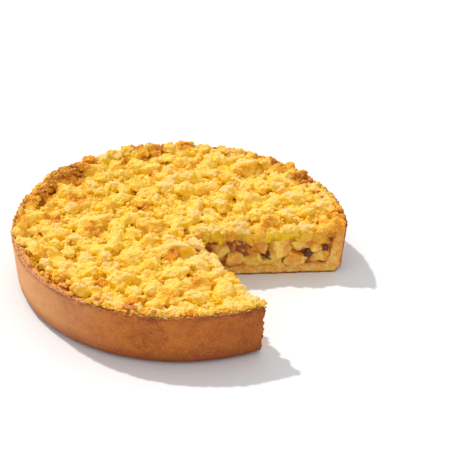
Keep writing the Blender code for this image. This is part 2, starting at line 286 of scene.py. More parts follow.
def remember(piece, name, values):
    """Keeps one number for each point, for the materials to read."""
    attribute = piece.data.attributes.get(name) or piece.data.attributes.new(name, "FLOAT", "POINT")
    attribute.data.foreach_set("value", values.astype(np.float32))


def size_between(size_range, share):
    """From the smallest size to the largest, in equal ratios."""
    smallest, largest = size_range
    return smallest * (largest / smallest) ** share


def triangles_of(piece):
    piece.data.calc_loop_triangles()
    return len(piece.data.loop_triangles)


def slice_cutter(recess):
    """The missing slice as a solid: a block with one side on the near cut, trimmed at the far cut."""
    cube = bpy.ops.mesh.primitive_cube_add
    block = new_piece("slice", cube, size=1.0, location=(0.20, 0.20, 0.035), scale=(0.40, 0.40, 0.11))
    half_angle = 0.5 * (FAR_CUT_ANGLE - NEAR_CUT_ANGLE)
    middle = direction(0.5 * (FAR_CUT_ANGLE + NEAR_CUT_ANGLE))
    corner = CUT_POINT - middle * (recess / math.sin(half_angle))
    block.rotation_euler.z = NEAR_CUT_ANGLE
    block.location = corner
    bpy.ops.object.transform_apply(location=True, rotation=True, scale=True)
    bpy.ops.object.mode_set(mode="EDIT")
    bpy.ops.mesh.select_all(action="SELECT")
    normal = into_pie(FAR_CUT_ANGLE, 1.0)
    bpy.ops.mesh.bisect(plane_co=corner, plane_no=normal, use_fill=True, clear_outer=True)
    bpy.ops.object.mode_set(mode="OBJECT")
    return block


def cut_slice(piece, recess):
    """Takes the slice out of a piece. A recess cuts that much deeper into it."""
    cutter = slice_cutter(recess)
    modify(piece, "BOOLEAN", operation="DIFFERENCE", solver="EXACT", object=cutter)
    bpy.data.objects.remove(cutter)


print("helpers are ready")

# %% [markdown]
# Colours are mixed in the shader from sums such as mask * (1 - other). The small class below wraps a
# socket so that such a sum can be written as it is, and each operator adds its Math node. Colours
# and vectors keep their own nodes, because a Math node would turn a colour grey.

# %% Shader helpers


class Wire:
    """A value in a shader that can be used in sums."""

    def __init__(self, paint, socket):
        self.paint = paint
        self.socket = socket

    def combine(self, operation, first, second):
        return self.paint.node("ShaderNodeMath", {"operation": operation}, {0: first, 1: second})

    def __add__(self, other):
        return self.combine("ADD", self, other)

    def __radd__(self, other):
        return self.combine("ADD", other, self)

    def __sub__(self, other):
        return self.combine("SUBTRACT", self, other)

    def __rsub__(self, other):
        return self.combine("SUBTRACT", other, self)

    def __mul__(self, other):
        return self.combine("MULTIPLY", self, other)

    def __rmul__(self, other):
        return self.combine("MULTIPLY", other, self)


class Paint:
    """A material and its nodes."""

    def __init__(self, name, **constants):
        self.material = bpy.data.materials.new(name)
        self.material.use_nodes = True
        self.tree = self.material.node_tree
        self.surface = self.tree.nodes["Principled BSDF"]
        for socket, value in constants.items():
            self.surface.inputs[socket.replace("_", " ")].default_value = value

    def fill(self, socket, value):
        if isinstance(value, Wire):
            self.tree.links.new(value.socket, socket)
        elif isinstance(value, tuple) and len(value) == 3 and socket.type == "RGBA":
            socket.default_value = (*value, 1.0)
        else:
            socket.default_value = value

    def node(self, kind, settings=None, inputs=None, output=0):
        """Adds a node: its settings first, then the values or wires of its sockets."""
        made = self.tree.nodes.new(kind)
        for name, value in (settings or {}).items():
            setattr(made, name, value)
        for name, value in (inputs or {}).items():
            self.fill(made.inputs[name], value)
        return Wire(self, made.outputs[output])

    def place(self):
        return self.node("ShaderNodeTexCoord", output="Object")

    def along(self, vector, axis):
        """How much of a vector runs along X, Y or Z."""
        return self.node("ShaderNodeSeparateXYZ", {}, {0: vector}, axis)

    def speckle(self, place, size, detail=2.0, roughness=0.5):
        """Cloudy noise from 0 to 1 whose patches are about this many metres wide."""
        values = {"Vector": place, "Scale": 1.0 / size, "Detail": detail, "Roughness": roughness}
        return self.node("ShaderNodeTexNoise", {}, values, "Fac")

    def grains(self, place, size):
        """Rounded cells about this many metres wide: 0 in their middles."""
        values = {"Vector": place, "Scale": 1.0 / size}
        return self.node("ShaderNodeTexVoronoi", {}, values, "Distance")

    def between(self, value, low, high):
        """0 below low, 1 above high, and a soft slope between them."""
        values = {"Value": value, "From Min": low, "From Max": high}
        return self.node("ShaderNodeMapRange", {"interpolation_type": "SMOOTHSTEP"}, values)

    def mix(self, first, second, share):
        """From the first colour to the second."""
        made = self.tree.nodes.new("ShaderNodeMix")
        made.data_type = "RGBA"
        made.clamp_factor = True
        self.fill(made.inputs["Factor"], share)
        self.fill(made.inputs[6], first)
        self.fill(made.inputs[7], second)
        return Wire(self, made.outputs[2])

    def saved(self, name):
        """A number that was kept on the piece's points."""
        return self.node("ShaderNodeAttribute", {"attribute_name": name}, {}, "Fac")

    def bump(self, height, distance, strength=1.0):
        values = {"Height": height, "Distance": distance, "Strength": strength}
        return self.node("ShaderNodeBump", {}, values)

    def finish(self, colour, roughness, normal):
        self.fill(self.surface.inputs["Base Color"], colour)
        self.fill(self.surface.inputs["Roughness"], roughness)
        self.fill(self.surface.inputs["Normal"], normal)
        return self.material


def to_light(share):
    """One channel of a screen colour, from 0 to 1, as light."""
    return share / 12.92 if share <= 0.04045 else ((share + 0.055) / 1.055) ** 2.4


def colour(red, green, blue):
    """A colour given in the usual 0 to 255 of a screen, as light."""
    return tuple(to_light(value / 255.0) for value in (red, green, blue))


print("shader helpers are ready")

# %% [markdown]
# Shortcrust that has baked in a tin is smooth where it touched the metal and sandy where it broke.
# Its skin is golden brown and only about a millimetre thick: a cut shows pale crumb under it. The wall
# is painted paler at the left, where light grazes it, and darker and redder at the right, as painted
# shade. It is darker towards its foot and darkest in the cracks of the rim. The material reads the
# depth under the skin and two marks of the rim, which the next cells keep on the mesh.

# %% Pastry material
# The pale sandy skin colour tints sandy spots and is also painted light on the left of the wall.
SKIN_GOLD = colour(192, 110, 38)
SKIN_SANDY_AND_LIT = colour(236, 172, 116)
SKIN_DEEP = colour(154, 74, 26)
SKIN_SCORCHED = colour(118, 44, 18)
PASTRY_PALE = colour(255, 216, 124)
PASTRY_SAND = colour(252, 180, 74)
PASTRY_BAKED = colour(234, 148, 58)
SKIN_FOOT = colour(128, 54, 24)
LEDGE_PALE = colour(246, 202, 150)
LEDGE_SAND = colour(222, 152, 96)


def pastry_material():
    paint = Paint("baked_pastry", Subsurface_Weight=0.06, Subsurface_Scale=0.003, Specular_IOR_Level=0.2)
    place = paint.place()
    height = paint.along(place, "Z")
    depth = paint.saved("depth")
    wide = paint.speckle(place, 0.030, 3.0)
    middle = paint.speckle(place, 0.006, 4.0, 0.6)
    fine = paint.speckle(place, 0.0011, 3.0, 0.7)
    pores = paint.grains(place, 0.0036)
    skin = paint.mix(SKIN_GOLD, SKIN_DEEP, paint.between(0.6 * wide + 0.7 * middle, 0.52, 0.92))
    # Painted light and shade: the wall is paler at the left, where light grazes it, and darker at the
    # right, in shade.
    across = paint.along(place, "X") + 0.03 * wide
    left = 1.0 - paint.between(across, -0.115, -0.020)
    skin = paint.mix(skin, SKIN_SANDY_AND_LIT, 0.85 * left)
    right = paint.between(across, -0.010, 0.070)
    skin = paint.mix(skin, SKIN_DEEP, 0.40 * right)
    low = 1.0 - paint.between(height + 0.005 * middle, 0.003, 0.020)
    skin = paint.mix(skin, SKIN_FOOT, 0.80 * low)
    top = paint.between(height + 0.0044 * (middle - 0.5), 0.0396, 0.0420)
    skin = paint.mix(skin, SKIN_SCORCHED, 0.40 * top * paint.between(middle + 0.3 * fine, 0.42, 0.66))
    ledge = paint.between(paint.saved("ledge") + 0.5 * (fine - 0.5) + 0.5 * (middle - 0.5), 0.30, 0.60)
    sandy = paint.mix(LEDGE_SAND, LEDGE_PALE, paint.between(fine + middle, 0.85, 1.10))
    skin = paint.mix(skin, sandy, ledge)
    crack = paint.between(paint.saved("crack") + 1.2 * (middle - 0.5) + 0.4 * (fine - 0.5), 0.50, 0.75)
    skin = paint.mix(skin, SKIN_SCORCHED, 0.62 * crack)
    dots = (1.0 - paint.between(pores + 0.12 * fine, 0.14, 0.26)) * (0.25 + 0.75 * right)
    skin = paint.mix(skin, SKIN_SCORCHED, 0.7 * dots)
    freckles = paint.between(fine + 0.5 * middle, 0.82, 0.98)
    skin = paint.mix(skin, SKIN_SCORCHED, 0.45 * freckles)
    skin = paint.mix(skin, SKIN_SANDY_AND_LIT, 0.34 * paint.between(fine, 0.50, 0.70))
    crumb = paint.mix(PASTRY_PALE, PASTRY_SAND, paint.between(middle + 0.6 * fine, 0.64, 0.90))
    holes = 1.0 - paint.between(paint.grains(place, 0.0021) + 0.4 * fine, 0.30, 0.46)
    crumb = paint.mix(crumb, SKIN_DEEP, 0.55 * holes)
    browned = paint.between(height + 0.006 * middle, 0.012, 0.040)
    crumb = paint.mix(crumb, PASTRY_BAKED, 0.70 * browned)
    under = paint.between(depth + 0.0009 * (fine - 0.5), 0.0006, 0.0019)
    mixed = paint.mix(skin, crumb, under)
    bumps = 0.6 * fine + 0.5 * middle + 0.8 * under * fine
    normal = paint.bump(bumps, 0.0010, 0.8)
    return paint.finish(mixed, 0.78 - 0.10 * fine, normal)


PASTRY = pastry_material()
print("pastry material has", len(PASTRY.node_tree.nodes), "nodes")

# %% [markdown]
# The case is modelled as a potter would: a solid drum, widened at its top, hollowed by an inset and a
# deep push, with its foot rounded. Then the slice comes out. A voxel remesh gives the whole crust an
# even grid of small faces, so that the later pushes can carve crags into the rim and pores into the cuts.

# %% Pastry case, the plain form
CASE_SIDES = 180
CRUST_GRAIN = 0.00095


def plain_case():
    case = new_piece(
        "pastry_case",
        bpy.ops.mesh.primitive_cylinder_add,
        vertices=CASE_SIDES,
        radius=FOOT_RADIUS,
        depth=RIM_HEIGHT,
        location=(0.0, 0.0, 0.5 * RIM_HEIGHT),
    )
    bpy.ops.object.mode_set(mode="EDIT")
    bpy.ops.mesh.select_mode(type="FACE")
    bpy.ops.mesh.select_all(action="DESELECT")
    mesh = bmesh.from_edit_mesh(case.data)
    top = max(mesh.faces, key=lambda face: face.calc_center_median().z)
    top.select_set(True)
    bmesh.update_edit_mesh(case.data)
    widen = RIM_RADIUS / FOOT_RADIUS
    bpy.ops.transform.resize(value=(widen, widen, 1.0))
    bpy.ops.mesh.inset(thickness=WALL_AT_RIM, use_even_offset=False)
    bpy.ops.transform.translate(value=(0.0, 0.0, -RIM_FALL))
    drop = BASE_THICKNESS - (RIM_HEIGHT - RIM_FALL)
    bpy.ops.mesh.extrude_region_move(TRANSFORM_OT_translate={"value": (0.0, 0.0, drop)})
    narrow = (FOOT_RADIUS - WALL_AT_BASE) / (RIM_RADIUS - WALL_AT_RIM)
    bpy.ops.transform.resize(value=(narrow, narrow, 1.0))
    bpy.ops.mesh.select_mode(type="EDGE")
    bpy.ops.mesh.select_all(action="DESELECT")
    mesh = bmesh.from_edit_mesh(case.data)
    for edge in mesh.edges:
        ends = [vertex.co for vertex in edge.verts]
        edge.select_set(all(end.z < 1e-5 and end.xy.length > 0.9 * FOOT_RADIUS for end in ends))
    bmesh.update_edit_mesh(case.data)
    bpy.ops.mesh.bevel(offset=FOOT_ROUND, segments=6, profile=0.5, affect="EDGES")
    bpy.ops.object.mode_set(mode="OBJECT")
    return case


def thin_hidden_part(piece, name, hidden, share):
    """Leaves only a share of the faces, taking them where nobody looks."""
    group = weigh(piece, name, hidden)
    modify(piece, "DECIMATE", ratio=share, vertex_group=group, vertex_group_factor=10.0)


crust = plain_case()
cut_slice(crust, 0.0)
modify(crust, "REMESH", mode="VOXEL", voxel_size=CRUST_GRAIN, use_smooth_shade=True)
print("plain case has", triangles_of(crust), "triangles")
inside = points_of(crust)
deep_inside = (radii_of(inside) < 0.121) & (inside[:, 2] < 0.036) & (depths_behind_cut(inside) > 0.004)
thin_hidden_part(crust, "hidden", np.where(deep_inside, 1.0, 0.0), 0.46)
print("thinned case has", triangles_of(crust), "triangles")

# %% [markdown]
# Before it is bent, the case is simple enough to say how deep each point lies under the baked skin.
# That number is kept on the points, with two marks: one for the sandy ledge on top and one for the
# crack along it. The rim then gets the slow waves of hand-lined pastry, and three kinds of relief:
# crags along the rim, pores in the cut faces, and soft dents with a fine grain on the wall.

# %% Pastry case, its relief
WALL_STRAY = 0.0008
RIM_WAVE = 0.0016
RIM_CRAGS = 0.0007


def case_unevenness(angle, height):
    """How far hand-lined pastry strays outwards and upwards, growing towards the rim."""
    share = smooth_step(0.3 * RIM_HEIGHT, RIM_HEIGHT, height)
    circle = direction(angle)
    outwards = WALL_STRAY * noise.noise(circle * 1.7 + Vector((3.1, 0.0, 0.0)))
    upwards = RIM_WAVE * noise.noise(circle * 2.6 + Vector((0.0, 7.7, 0.0)))
    upwards += RIM_CRAGS * noise.noise(circle * 9.0 + Vector((5.0, 2.0, 0.0)))
    return share * outwards, share * upwards


def bend_case(piece):
    points = points_of(piece)
    radii = radii_of(points)
    angles = np.arctan2(points[:, 1], points[:, 0])
    for index in np.nonzero(points[:, 2] > 0.3 * RIM_HEIGHT)[0]:
        outwards, upwards = case_unevenness(angles[index], points[index, 2])
        grown = 1.0 + outwards / max(radii[index], 0.01)
        points[index] = (points[index, 0] * grown, points[index, 1] * grown, points[index, 2] + upwards)
    set_points(piece, points)


crust_points = points_of(crust)
crust_radii = radii_of(crust_points)
crust_heights = crust_points[:, 2]
outer_radii = outer_radius(crust_heights)
foot = np.clip((FOOT_ROUND - crust_heights) / FOOT_ROUND, 0.0, 1.0)
outer_radii = outer_radii - FOOT_ROUND * (1.0 - np.sqrt(np.clip(1.0 - foot * foot, 0.0, 1.0)))
inwards = outer_radii - crust_radii
depth = np.minimum.reduce([inwards, crust_heights, RIM_HEIGHT - crust_heights])
remember(crust, "depth", np.clip(depth, 0.0, 0.02))
remember(crust, "ledge", fade(0.0010, 0.0026, inwards) * fade(0.0370, 0.0400, crust_heights))
crack = fade(0.0016, 0.0026, inwards) * (1.0 - fade(0.0034, 0.0050, inwards))
remember(crust, "crack", crack * fade(0.0385, 0.0402, crust_heights))
rim_share = fade(0.0362, 0.0405, crust_heights) * fade(0.116, 0.122, crust_radii)
cut_distance = depths_behind_cut(crust_points)
at_cut = (1.0 - fade(0.0006, 0.0030, cut_distance)) * fade(0.0004, 0.0016, crust_heights)
wall_share = fade(0.0008, 0.0060, crust_heights) * fade(-0.004, -0.0008, -inwards)
wall_share = wall_share * fade(0.0005, 0.0030, cut_distance)
rim_group = weigh(crust, "rim", rim_share)
cut_group = weigh(crust, "cut", at_cut)
wall_group = weigh(crust, "wall", wall_share)
bend_case(crust)
push(crust, relief("rim_crags", "CLOUDS", 0.0034, noise_depth=3), 0.0034, rim_group, 0.55)
push(crust, relief("rim_grains", "VORONOI", 0.0022), -0.0012, rim_group, 0.35)
push(crust, relief("cut_pores", "CLOUDS", 0.0026, noise_depth=2), 0.0030, cut_group, 0.6)
push(crust, relief("cut_flakes", "VORONOI", 0.0032), -0.0015, cut_group, 0.35)
push(crust, relief("wall_dents", "CLOUDS", 0.014, noise_depth=2), 0.0010, wall_group)
push(crust, relief("wall_grain", "CLOUDS", 0.0016, noise_depth=1), 0.00022, wall_group)
crust.data.materials.clear()
crust.data.materials.append(PASTRY)
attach(crust, "root")
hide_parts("crust")
print("case has", triangles_of(crust), "triangles")

# %% [markdown]
# The crumble was rubbed between fingers, so it is clods of every size: a few as wide as a walnut,
# many like hazelnuts, and crumbs between them. Their places follow the rule that also made the
# plain solid, with the same seed, so the big lumps lie where the solid has them.

# %% Where the lumps of crumble lie
CLODS = (
    (-0.0875, 0.0502, 0.0098, 0), (-0.0947, -0.0068, 0.0112, 10), (-0.1100, 0.0157, 0.0078, 0),
    (-0.0715, 0.0040, 0.0126, 8), (-0.0785, -0.0185, 0.0082, 0), (-0.0469, -0.0150, 0.0092, 0),
    (-0.1020, -0.0380, 0.0104, -20), (-0.0850, -0.0580, 0.0100, 0), (-0.0652, -0.0610, 0.0102, 0),
    (-0.0425, -0.0770, 0.0122, 0), (-0.0230, 0.0030, 0.0112, 0), (-0.0010, 0.0090, 0.0110, 0),
    (-0.0045, -0.0371, 0.0142, 0), (-0.0050, -0.0676, 0.0114, 0), (0.0130, -0.0560, 0.0108, 0),
    (0.0325, -0.0900, 0.0116, 90), (0.0290, -0.0665, 0.0088, 0), (0.0114, -0.0810, 0.0106, 0),
    (0.0112, -0.0985, 0.0088, 0), (-0.0081, -0.1010, 0.0090, 0), (-0.0331, -0.1025, 0.0084, 0),
    (-0.0410, 0.1110, 0.0088, 0), (0.0030, 0.1170, 0.0090, 0), (0.0322, 0.1080, 0.0114, 0),
    (-0.0252, 0.0940, 0.0086, 0), (-0.0336, 0.0666, 0.0098, 60), (-0.0120, 0.0600, 0.0092, 0),
    (0.0090, 0.0780, 0.0100, 0), (0.0540, 0.0910, 0.0132, 25), (0.0790, 0.0880, 0.0084, 0),
    (0.1110, 0.0300, 0.0090, 0), (0.0712, 0.0095, 0.0092, 0), (0.0554, 0.0400, 0.0112, 0),
    (0.0900, 0.0420, 0.0100, 0), (-0.0930, 0.0720, 0.0094, 30), (-0.0710, 0.0910, 0.0098, 20),
    (-0.0500, 0.0860, 0.0090, 0), (-0.0571, 0.0310, 0.0094, 20), (-0.0600, -0.0355, 0.0098, 0),
    (-0.0310, -0.0420, 0.0094, 0),
)
CLOD_WIDTH = 0.76
CLOD_HEIGHT = 0.68
CLOD_LIFT = 0.0004
LUMP_SEED = 11
LUMP_KINDS = (
    (66, 0.0054, 0.0078, 0.88, 0.50, 0.90),
    (26, 0.0040, 0.0052, 0.80, 0.40, 0.80),
)
LUMP_TRIES = 60
LUMP_LENGTH = (0.95, 1.25)
LUMP_WIDTH = (0.80, 1.00)
LUMP_HEIGHT = (0.62, 0.85)
LUMP_TILT = 0.5
CUT_LUMP_SIZES = (0.0042, 0.0072)
CUT_LUMP_PITCH = 0.0120
CUT_SINK = (0.9, 1.3)
RIM_LUMP_SIZES = (0.0046, 0.0070)
RIM_LUMP_PITCH = 0.0128
RIM_INWARDS = (0.75, 1.10)
RIM_SINK = (-0.12, 0.35)
BARE_RIM = (math.radians(195.0), math.radians(232.0))
BARE_RIM_WIDTH = 0.0050
BED_RECESS = 0.0035
BED_SWELL = 0.0022
BED_SWELLS_PER_METRE = 26.0
BED_FALL_AT_RIM = 0.0015
BED_FALL_AT_CUT = 0.0030
CUT_FALL_REACH = 0.0140
NUT_PITCH = 0.0070
NUT_SIZES = (0.0019, 0.0042)
NUT_SINK = (0.80, 1.45)


def bed_height(x, y):
    """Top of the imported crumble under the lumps. It falls at the rim and at the cuts."""
    swell = noise.noise(Vector((x, y, 0.0)) * BED_SWELLS_PER_METRE)
    near_rim = smooth_step(CRUMBLE_REACH - 0.0155, CRUMBLE_REACH - 0.0015, math.hypot(x, y))
    near_cut = 1.0 - smooth_step(0.0, CUT_FALL_REACH, depth_behind_cut(x, y))
    return BED_TOP + BED_SWELL * swell - BED_FALL_AT_RIM * near_rim - BED_FALL_AT_CUT * near_cut


def lump_at(draw, x, y, half_width, sink):
    """One lump: its middle, half sizes and turn. The sink is the share that the bed hides."""
    half_sizes = Vector((
        half_width * draw.uniform(*LUMP_LENGTH),
        half_width * draw.uniform(*LUMP_WIDTH),
        half_width * draw.uniform(*LUMP_HEIGHT),
    ))
    height = bed_height(x, y) + half_sizes.z * (1.0 - sink)
    tilts = [draw.uniform(-LUMP_TILT, LUMP_TILT) for _ in range(2)]
    return Vector((x, y, height)), half_sizes, Euler((*tilts, draw.uniform(0.0, math.tau)))


def cut_lumps(draw):
    """A row of lumps along each cut, so that the crumble's broken edge shows."""
    lumps = []
    for angle, side in CUTS:
        reached = 0.5 * CUT_LUMP_PITCH
        while True:
            half_width = draw.uniform(*CUT_LUMP_SIZES)
            inwards = half_width * draw.uniform(0.75, 1.1)
            place = CUT_POINT + direction(angle) * reached + into_pie(angle, side) * inwards
            if place.length > CRUMBLE_REACH - CUT_LUMP_SIZES[1]:
                break
            lumps.append(lump_at(draw, place.x, place.y, half_width, draw.uniform(*CUT_SINK)))
            reached += CUT_LUMP_PITCH * draw.uniform(0.8, 1.2)
    return lumps


def main_clods():
    """The largest clods, each standing on the bed with its lower half in it."""
    clods = []
    for x, y, half_length, turn in CLODS:
        half_sizes = Vector((half_length, half_length * CLOD_WIDTH, half_length * CLOD_HEIGHT))
        place = Vector((x, y, bed_height(x, y) + CLOD_LIFT))
        clods.append((place, half_sizes, Euler((0.0, 0.0, math.radians(turn)))))
    return clods


def rim_lumps(draw):
    """A row of lumps that lie against the rim and partly over it."""
    lumps = []
    count = int(math.tau * CRUMBLE_REACH / RIM_LUMP_PITCH)
    for step in range(count):
        angle = math.tau * (step + draw.uniform(-0.3, 0.3)) / count
        half_width = draw.uniform(*RIM_LUMP_SIZES)
        inwards = half_width * draw.uniform(*RIM_INWARDS)
        if BARE_RIM[0] < angle < BARE_RIM[1]:
            inwards += BARE_RIM_WIDTH
        place = direction(angle) * (CRUMBLE_REACH - inwards)
        lump = lump_at(draw, place.x, place.y, half_width, draw.uniform(*RIM_SINK))
        if depth_behind_cut(place.x, place.y) > half_width * 0.8:
            lumps.append(lump)
    return lumps


def field_lumps(draw, taken):
    """Lumps all over the bed, largest first, none too near another or a cut."""
    lumps = []
    spots = [(place.xy, max(half_sizes) * 0.6) for place, half_sizes, _ in taken]
    for count, smallest, largest, keep_apart, *sinks in LUMP_KINDS:
        made = 0
        for _ in range(count * LUMP_TRIES):
            if made == count:
                break
            here = Vector([draw.uniform(-CRUMBLE_REACH, CRUMBLE_REACH) for _ in range(2)])
            half_width = draw.uniform(smallest, largest)
            if here.length > CRUMBLE_REACH - half_width * 1.1:
                continue
            if depth_behind_cut(*here) < half_width * 0.9:
                continue
            if any((here - spot).length < keep_apart * (half_width + size) for spot, size in spots):
                continue
            lumps.append(lump_at(draw, *here, half_width, draw.uniform(*sinks)))
            spots.append((here, half_width))
            made += 1
    return lumps


def nut_lumps(draw):
    """Smaller lumps in uneven rows all over the bed, to fill the room between the clods."""
    nuts = []
    steps = int(CRUMBLE_REACH / NUT_PITCH)
    for row in range(-steps, steps + 1):
        for column in range(-steps, steps + 1):
            x = NUT_PITCH * (column + 0.5 * (row % 2) + draw.uniform(-0.4, 0.4))
            y = NUT_PITCH * (row + draw.uniform(-0.4, 0.4))
            half_width = size_between(NUT_SIZES, draw.random())
            if math.hypot(x, y) > CRUMBLE_REACH - 0.004 or depth_behind_cut(x, y) < half_width:
                continue
            nuts.append(lump_at(draw, x, y, half_width, draw.uniform(*NUT_SINK)))
    return nuts


layout = random.Random(LUMP_SEED)
lumps = main_clods() + cut_lumps(layout) + rim_lumps(layout)
lumps += field_lumps(layout, lumps)
nuts = nut_lumps(random.Random(23))
print(len(lumps), "lumps as in the solid, and", len(nuts), "smaller ones between them")

# %% [markdown]
# A few lumps are shaped once and then used again and again, each time at another size and turn.
# A clod is a ball with a few sides broken off flat, a crumb a plain ball. Clouds and cells then dent
# them, which leaves the knobbly skin of rubbed dough. Copies are gathered into one mesh from arrays,
# because thousands of separate objects would be slow.

# %% Shapes that repeat
CLOD_BREAKS = 6


def dented_ball(name, detail, seed_place, dents, knobs):
    """A ball of radius 1 with dents and knobs. Its place in the textures makes it unlike the others."""
    ico_sphere = bpy.ops.mesh.primitive_ico_sphere_add
    ball = new_piece(name, ico_sphere, subdivisions=detail, radius=1.0, location=seed_place)
    push(ball, relief(name + "_dents", "CLOUDS", 0.95, noise_depth=2), dents)
    push(ball, relief(name + "_knobs", "VORONOI", 0.62), -knobs, middle=0.4)
    return taken_shape(ball)


def taken_shape(piece):
    """The points and faces of a shape, moved to its middle. The object itself is removed."""
    points = points_of(piece)
    faces = np.array([list(face.vertices) for face in piece.data.polygons])
    bpy.data.objects.remove(piece)
    return points - points.mean(axis=0), faces


def break_off(piece, middle, normals_and_reaches):
    """Cuts a side off a piece for each normal, that far from its middle."""
    select_only(piece)
    bpy.ops.object.mode_set(mode="EDIT")
    for normal, reach in normals_and_reaches:
        bpy.ops.mesh.select_all(action="SELECT")
        place = middle + normal * reach
        bpy.ops.mesh.bisect(plane_co=place, plane_no=normal, use_fill=True, clear_outer=True)
    bpy.ops.object.mode_set(mode="OBJECT")


def broken_clod(index):
    """A lump of dough about 1 unit in radius: a ball with flat breaks, made knobbly."""
    draw = random.Random(100 + index)
    middle = Vector((11.0 * index, 3.0, 5.0))
    ico_sphere = bpy.ops.mesh.primitive_ico_sphere_add
    clod = new_piece(f"clod_{index}", ico_sphere, subdivisions=4, radius=1.14, location=middle)
    breaks = []
    for _ in range(CLOD_BREAKS):
        normal = Vector([draw.gauss(0.0, 1.0) for _ in range(3)]).normalized()
        breaks.append((normal, draw.uniform(0.70, 0.98)))
    break_off(clod, middle, breaks)
    modify(clod, "REMESH", mode="VOXEL", voxel_size=0.13)
    push(clod, relief(f"clod_dents_{index}", "CLOUDS", 0.80, noise_depth=1), 0.52)
    push(clod, relief(f"clod_crags_{index}", "CLOUDS", 0.34, noise_depth=1), 0.22)
    push(clod, relief(f"clod_knobs_{index}", "VORONOI", 0.42), -0.20, middle=0.4)
    return taken_shape(clod)


def shape_matrix(place, half_sizes, turn):
    return Matrix.Translation(place) @ turn.to_matrix().to_4x4() @ Matrix.Diagonal((*half_sizes, 1.0))


def gathered(name, shapes, matrices):
    """One mesh that holds a copy of a shape for each matrix, taking the shapes in turn."""
    all_points = []
    all_faces = []
    first = 0
    for index, matrix in enumerate(matrices):
        points, faces = shapes[index % len(shapes)]
        turned = points @ np.array(matrix.to_3x3()).T + np.array(matrix.translation)
        all_points.append(turned)
        all_faces.append(faces + first)
        first += len(points)
    points = np.concatenate(all_points)
    faces = np.concatenate(all_faces)
    mesh = bpy.data.meshes.new(name)
    mesh.vertices.add(len(points))
    mesh.vertices.foreach_set("co", points.astype(np.float32).ravel())
    mesh.loops.add(faces.size)
    mesh.loops.foreach_set("vertex_index", faces.astype(np.int32).ravel())
    mesh.polygons.add(len(faces))
    mesh.polygons.foreach_set("loop_start", np.arange(0, faces.size, faces.shape[1], dtype=np.int32))
    mesh.update(calc_edges=True)
    piece = bpy.data.objects.new(name, mesh)
    bpy.context.scene.collection.objects.link(piece)
    mesh.shade_smooth()
    return piece


CLOD_SHAPES = [broken_clod(index) for index in range(7)]
CRUMB_SHAPES = [
    dented_ball(f"crumb_{index}", 2, (7.0 * index, 9.0, 1.0), 0.75, 0.60) for index in range(8)
]
GRAIN_SHAPES = [
    dented_ball(f"grain_{index}", 1, (5.0 * index, 2.0, 8.0), 0.90, 0.50) for index in range(6)
]
print("a clod has", len(CLOD_SHAPES[0][1]), "faces, a crumb", len(CRUMB_SHAPES[0][1]))

# %% [markdown]
# The crumble is built in two layers. Its body is a flat drum in the case, raised to the bed's own height
# and covered with the smaller lumps, all fused by a remesh. The larger clods lie on it as pieces of
# their own, west, middle and east, and keep a crisp edge where they meet the bed. Crumbs are strewn
# over both layers before they are fused, so each clod carries smaller crumbs, as the real ones do.
# Nothing may stand out through the wall, and at the front left the ledge of the case stays bare.

# %% Body of the crumble and its clods
ROUGH_GRAIN = 0.0013
FINE_GRAIN = 0.00102
CLOD_GRAIN = 0.00086
CLOD_STRIPS = (
    ("clods_west", -1.0, -0.030, 37), ("clods_middle", -0.030, 0.030, 41), ("clods_east", 0.030, 1.0, 43),
)
BED_LOWERED = 0.0018
HIGHEST = 0.0476
HIGHEST_SOFTNESS = 0.0012
BEHIND_WALL = 0.0026
BARE_LEDGE = [math.radians(angle) for angle in (186.0, 206.0, 236.0, 262.0)]
BARE_LEDGE_WIDTH = 0.0046
RIDGE_CELL = 0.0012
CRUMBS_ON_BED = 5200
BED_CRUMB_SIZES = (0.0009, 0.0021)
CRUMBS_ON_CLODS = 3200
CLOD_CRUMB_SIZES = (0.0009, 0.0022)


def crumble_bed():
    low = FILLING_TOP - 0.0015
    bed = new_piece(
        "crumble_bed",
        bpy.ops.mesh.primitive_cylinder_add,
        vertices=96,
        radius=inner_radius(BED_TOP) + 0.003,
        depth=BED_TOP - low,
        location=(0.0, 0.0, 0.5 * (BED_TOP + low)),
    )
    cut_slice(bed, BED_RECESS)
    modify(bed, "REMESH", mode="VOXEL", voxel_size=0.0022)
    points = points_of(bed)
    for index in np.nonzero(points[:, 2] > BED_TOP - 0.001)[0]:
        points[index, 2] = bed_height(points[index, 0], points[index, 1]) - BED_LOWERED
    set_points(bed, points)
    return bed


def blurred(grid, times):
    """A square grid of heights, softened by averaging neighbours."""
    for _ in range(times):
        padded = np.pad(grid, 1, mode="edge")
        grid = (padded[:-2, 1:-1] + padded[2:, 1:-1] + padded[1:-1, :-2] + padded[1:-1, 2:] + grid) / 5.0
    return grid


def height_grid(points):
    """Highest point in each small square of the table under the pie."""
    count = int(2.2 * RIM_RADIUS / RIDGE_CELL)
    columns = ((points[:, :2] / RIDGE_CELL) + count / 2).astype(int).clip(0, count - 1)
    grid = np.full((count, count), BED_TOP - 0.004)
    np.maximum.at(grid, (columns[:, 0], columns[:, 1]), points[:, 2])
    return grid, columns


def stands_above(points, ground, times):
    """How far each point stands above the softened heights of the ground."""
    soft = blurred(height_grid(ground)[0], times)
    columns = height_grid(points)[1]
    return points[:, 2] - soft[columns[:, 0], columns[:, 1]]


